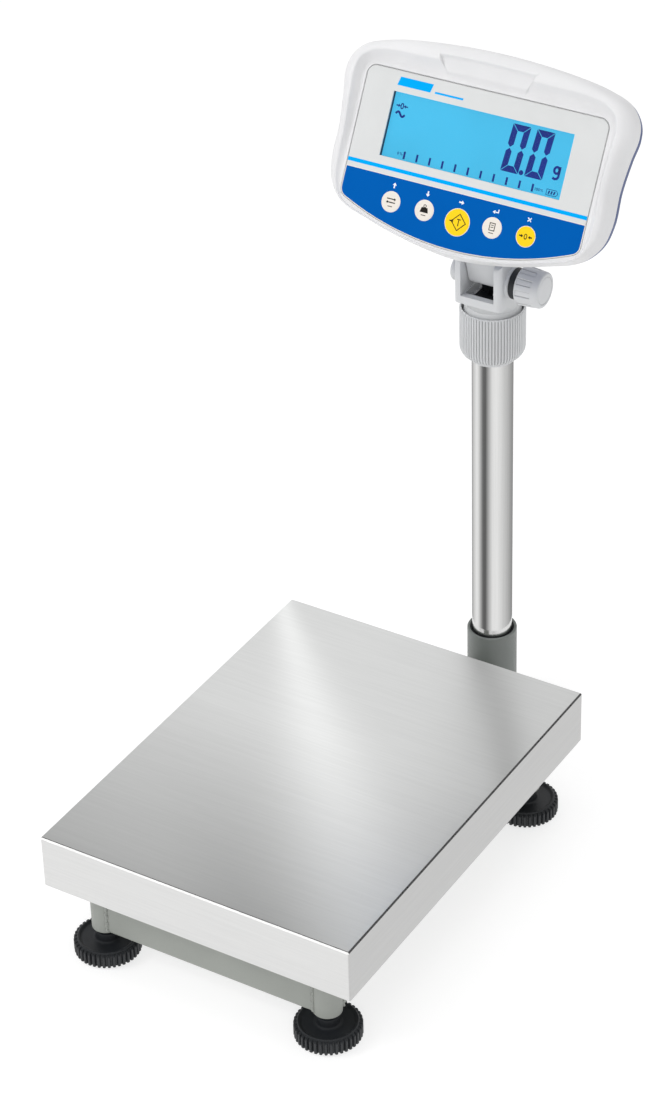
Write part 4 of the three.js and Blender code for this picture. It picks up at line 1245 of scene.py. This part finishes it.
def arrow(x, y, size, direction):
    """A short arrow about a point: its head is a triangle and its tail a bar."""
    d = Vector(direction)
    n, tip = Vector((-d.y, d.x)), Vector((x, y)) + d * size
    neck, tail = Vector((x, y)) + d * size * 0.05, Vector((x, y)) - d * size
    return [[tuple(tip), tuple(neck + n * size * 0.8), tuple(neck - n * size * 0.8)]] \
        + stroke([tail, neck], size * 0.55)


LEFT, RIGHT, UP, DOWN = (-1, 0), (1, 0), (0, 1), (0, -1)
DIGIT = {"width": 16.8, "height": 40.4, "bar": 5.5, "gap": 0.36, "lean": math.radians(3.5)}


def zero_digit(x, y):
    """A seven-segment nought, its six bars mitred at the corners, leaning to the right."""
    t, g = DIGIT["bar"], DIGIT["gap"]
    w, h, m = DIGIT["width"], DIGIT["height"], DIGIT["height"] / 2
    bars = [[(g, h), (w - g, h), (w - t - g, h - t), (t + g, h - t)],
            [(t + g, t), (w - t - g, t), (w - g, 0), (g, 0)]]
    upright = [[(0, h - g), (t, h - t - g), (t, m + t * 0.55), (t * 0.5, m + g), (0, m + t * 0.55)],
               [(0, m - t * 0.55), (t * 0.5, m - g), (t, m - t * 0.55), (t, t + g), (0, g)]]
    bars += upright + [[(w - px, py) for px, py in bar][::-1] for bar in upright]
    return [[(x + px + math.tan(DIGIT["lean"]) * py, y + py) for px, py in bar][::-1]
            for bar in bars]


def small_nought(x, y, size):
    return ring(x, y, size * 0.5, size * 0.85, size * 0.36, 16)


def percent(x, y, size):
    return ring(x - size * 0.7, y + size * 0.5, size * 0.3, size * 0.3, size * 0.28, 10) \
        + ring(x + size * 0.7, y - size * 0.5, size * 0.3, size * 0.3, size * 0.28, 10) \
        + stroke([(x - size * 0.6, y - size), (x + size * 0.6, y + size)], size * 0.28)


DISPLAY_FACE = -4.6


def make_display():
    face = DISPLAY_FACE
    module = combined(box((-87, -29, -13), (87, 29, face - 0.05)), bevel=0.3)
    build("display_body", module, "black", "head", ["display_module"], place=HEAD)
    glass = [(-86.5, -28.6), (86.5, -28.6), (86.5, 28.6), (-86.5, 28.6)]
    slab("display_glass", [glass], face - 0.04, face, "lit")
    outer, inner = rect_loop(WINDOW[0] + 2.4, WINDOW[1] + 2), rect_loop(*WINDOW)
    # A near-black frame lines the window's inner wall down to the display; its colour is both its own and painted
    # shade of the recess.
    framed("display_gasket_and_shade", ((outer, face + 0.02), (outer, -1.3), (inner, -1.3),
                              (inner, face + 0.02)), "gasket")
    slab("display_signs", display_signs(), face, face + 0.03, "segment")


def display_signs():
    # the reading with its point, and the gram sign
    signs = zero_digit(25.2, -15.6) + zero_digit(47.9, -15.6) + [circle(44.6, -13.5, 2.1, 20)]
    signs += ring(76, -4.6, 2.3, 2.7, 2.1, 20) \
        + stroke([(78.6, -1.2), (78.6, -9.8), (77.6, -11.4), (75.6, -12), (73.5, -11.2)], 2.1)
    # the capacity scale from 0 to 100 per cent
    for i in range(11):
        x = -65.2 + 12.32 * i
        signs += stroke([(x, -20), (x, -26.5)], 1.9)
    signs += small_nought(-71.4, -22.6, 1.25) + percent(-68.4, -22.6, 1.2)
    signs += stroke([(60.6, -24.8), (60.6, -22.4)], 0.48) + small_nought(62.3, -23.6, 1.2) \
        + small_nought(64.2, -23.6, 1.2) + percent(66.8, -23.6, 1.1)
    # at zero, settled, and the battery
    signs += ring(-77.6, 16.6, 1.2, 2.2, 1.0, 16) + arrow(-81.2, 16.6, 2.0, RIGHT) \
        + arrow(-74.0, 16.6, 2.0, LEFT)
    wave = [(-82.2 + 0.55 * i, 9.6 + 1.9 * math.sin(0.55 * i * 0.72)) for i in range(17)]
    signs += stroke(wave, 1.9)
    signs += stroke([(71.2, -26), (71.2, -21.2), (80.2, -21.2), (82, -23.6), (80.2, -26)], 0.5,
                    closed=True)
    return signs + strokes(1.4, *([(73.2 + 2.5 * i, -25), (73.9 + 2.5 * i, -22.2)]
                                  for i in range(3)))


def make_marks():
    """The small signs over the keys, and the two bars over the window."""
    height = -49.6
    signs = arrow(-65.2, height, 2.4, UP) + arrow(-32.6, height, 2.4, DOWN) \
        + arrow(0, height, 2.4, RIGHT)
    signs += stroke([(35.2, -47.6), (35.2, -50.2), (31.6, -50.2)], 0.9) \
        + [[(29.8, -50.2), (32.2, -51.8), (32.2, -48.6)]]
    signs += strokes(0.9, [(62.9, -51), (66.1, -47.8)], [(62.9, -47.8), (66.1, -51)])
    slab("field_marks", signs, 0.04, 0.07, "ink_white")
    bars = [[(-84.5, 33.2), (-52.5, 33.2), (-50.6, 40.6), (-82.6, 40.6)],
            [(-48.3, 33.2), (-21, 33.2), (-20.6, 34.9), (-47.9, 34.9)]]
    slab("face_band", bars, 0.0, 0.03, "stripe")


def key_signs():
    """Small signs about each key's middle: plain pictures and a nought, no words."""
    def dash(half, y):
        return stroke([(-half, y), (half, y)], 0.6)

    page = [(-2.4, 4), (2.4, 4), (2.4, -2.2), (-2.4, -2.2)]
    tray = [(1.2, 7.2), (8, 0.2), (1.2, -6.8), (-5.6, 0.2)]
    return {
        "key_mode": strokes(0.9, [(-4.2, 2.4), (1.6, 2.4)], [(-1.6, -0.6), (4.2, -0.6)])
        + arrow(2.8, 2.4, 1.7, RIGHT) + arrow(-2.8, -0.6, 1.7, LEFT) + dash(2.2, -4),
        "key_unit": [[(-4, -1.9), (4, -1.9), (2.8, 2.4), (-2.8, 2.4)]]
        + ring(0, 3.6, 1.2, 1.2, 0.6, 16) + dash(2.2, -4.2),
        "key_print": stroke(page, 0.7, closed=True) + dash(1.3, 2.2) + dash(1.3, 0.4)
        + dash(2.2, -4.4),
        "key_tare": stroke(tray, 0.75, closed=True) + arrow(-5.4, 0.2, 2, RIGHT)
        + strokes(0.8, [(-0.6, 2.6), (3, 2.6)], [(1.2, 2.6), (1.2, -3)]),
        "key_zero": ring(0, 0, 1.2, 2.1, 0.7, 20) + arrow(-4.2, 0, 1.9, RIGHT)
        + arrow(4.2, 0, 1.9, LEFT)}


# (inset from the key's edge, height) from its foot to its crown
KEY_PROFILE = [(0, -5), (0, -0.25), (0.1, 0.02), (0.35, 0.18), (0.9, 0.28), (1.8, 0.33), (3, 0.34)]


def make_keys():
    signs = key_signs()
    for name, (x, y, radius) in KEYS.items():
        profile = [(radius - inset, height) for inset, height in KEY_PROFILE]
        finish = "key_yellow" if name in ("key_tare", "key_zero") else "key_cream"
        build(name + "_cap", turned(profile, 72, (x, y)), finish, name, [name], place=HEAD,
              sharp=40)
        moved = [[(px + x, py + y) for px, py in outline] for outline in signs[name]]
        slab(name + "_sign", moved, 0.33, 0.37, "ink", body=name)


# ---- what stays as the CAD made it ---------------------------------------------------------------
def dress_hidden_nodes():
    for node, shape in frame["nodes"].items():
        shape.data.materials.clear()
        shape.data.materials.append(FINISH[FINISH_OF_SLOT[SLOT_OF[node]]])


scene.view_settings.view_transform = "Standard"
for make in (make_camera, make_stage, make_world, make_lights, make_pan, make_frame, make_feet,
             make_column, make_collar, make_yoke, make_knob, make_front_housing,
             make_rear_housing, make_bracket, make_panel, make_display, make_marks, make_keys,
             dress_hidden_nodes):
    make()
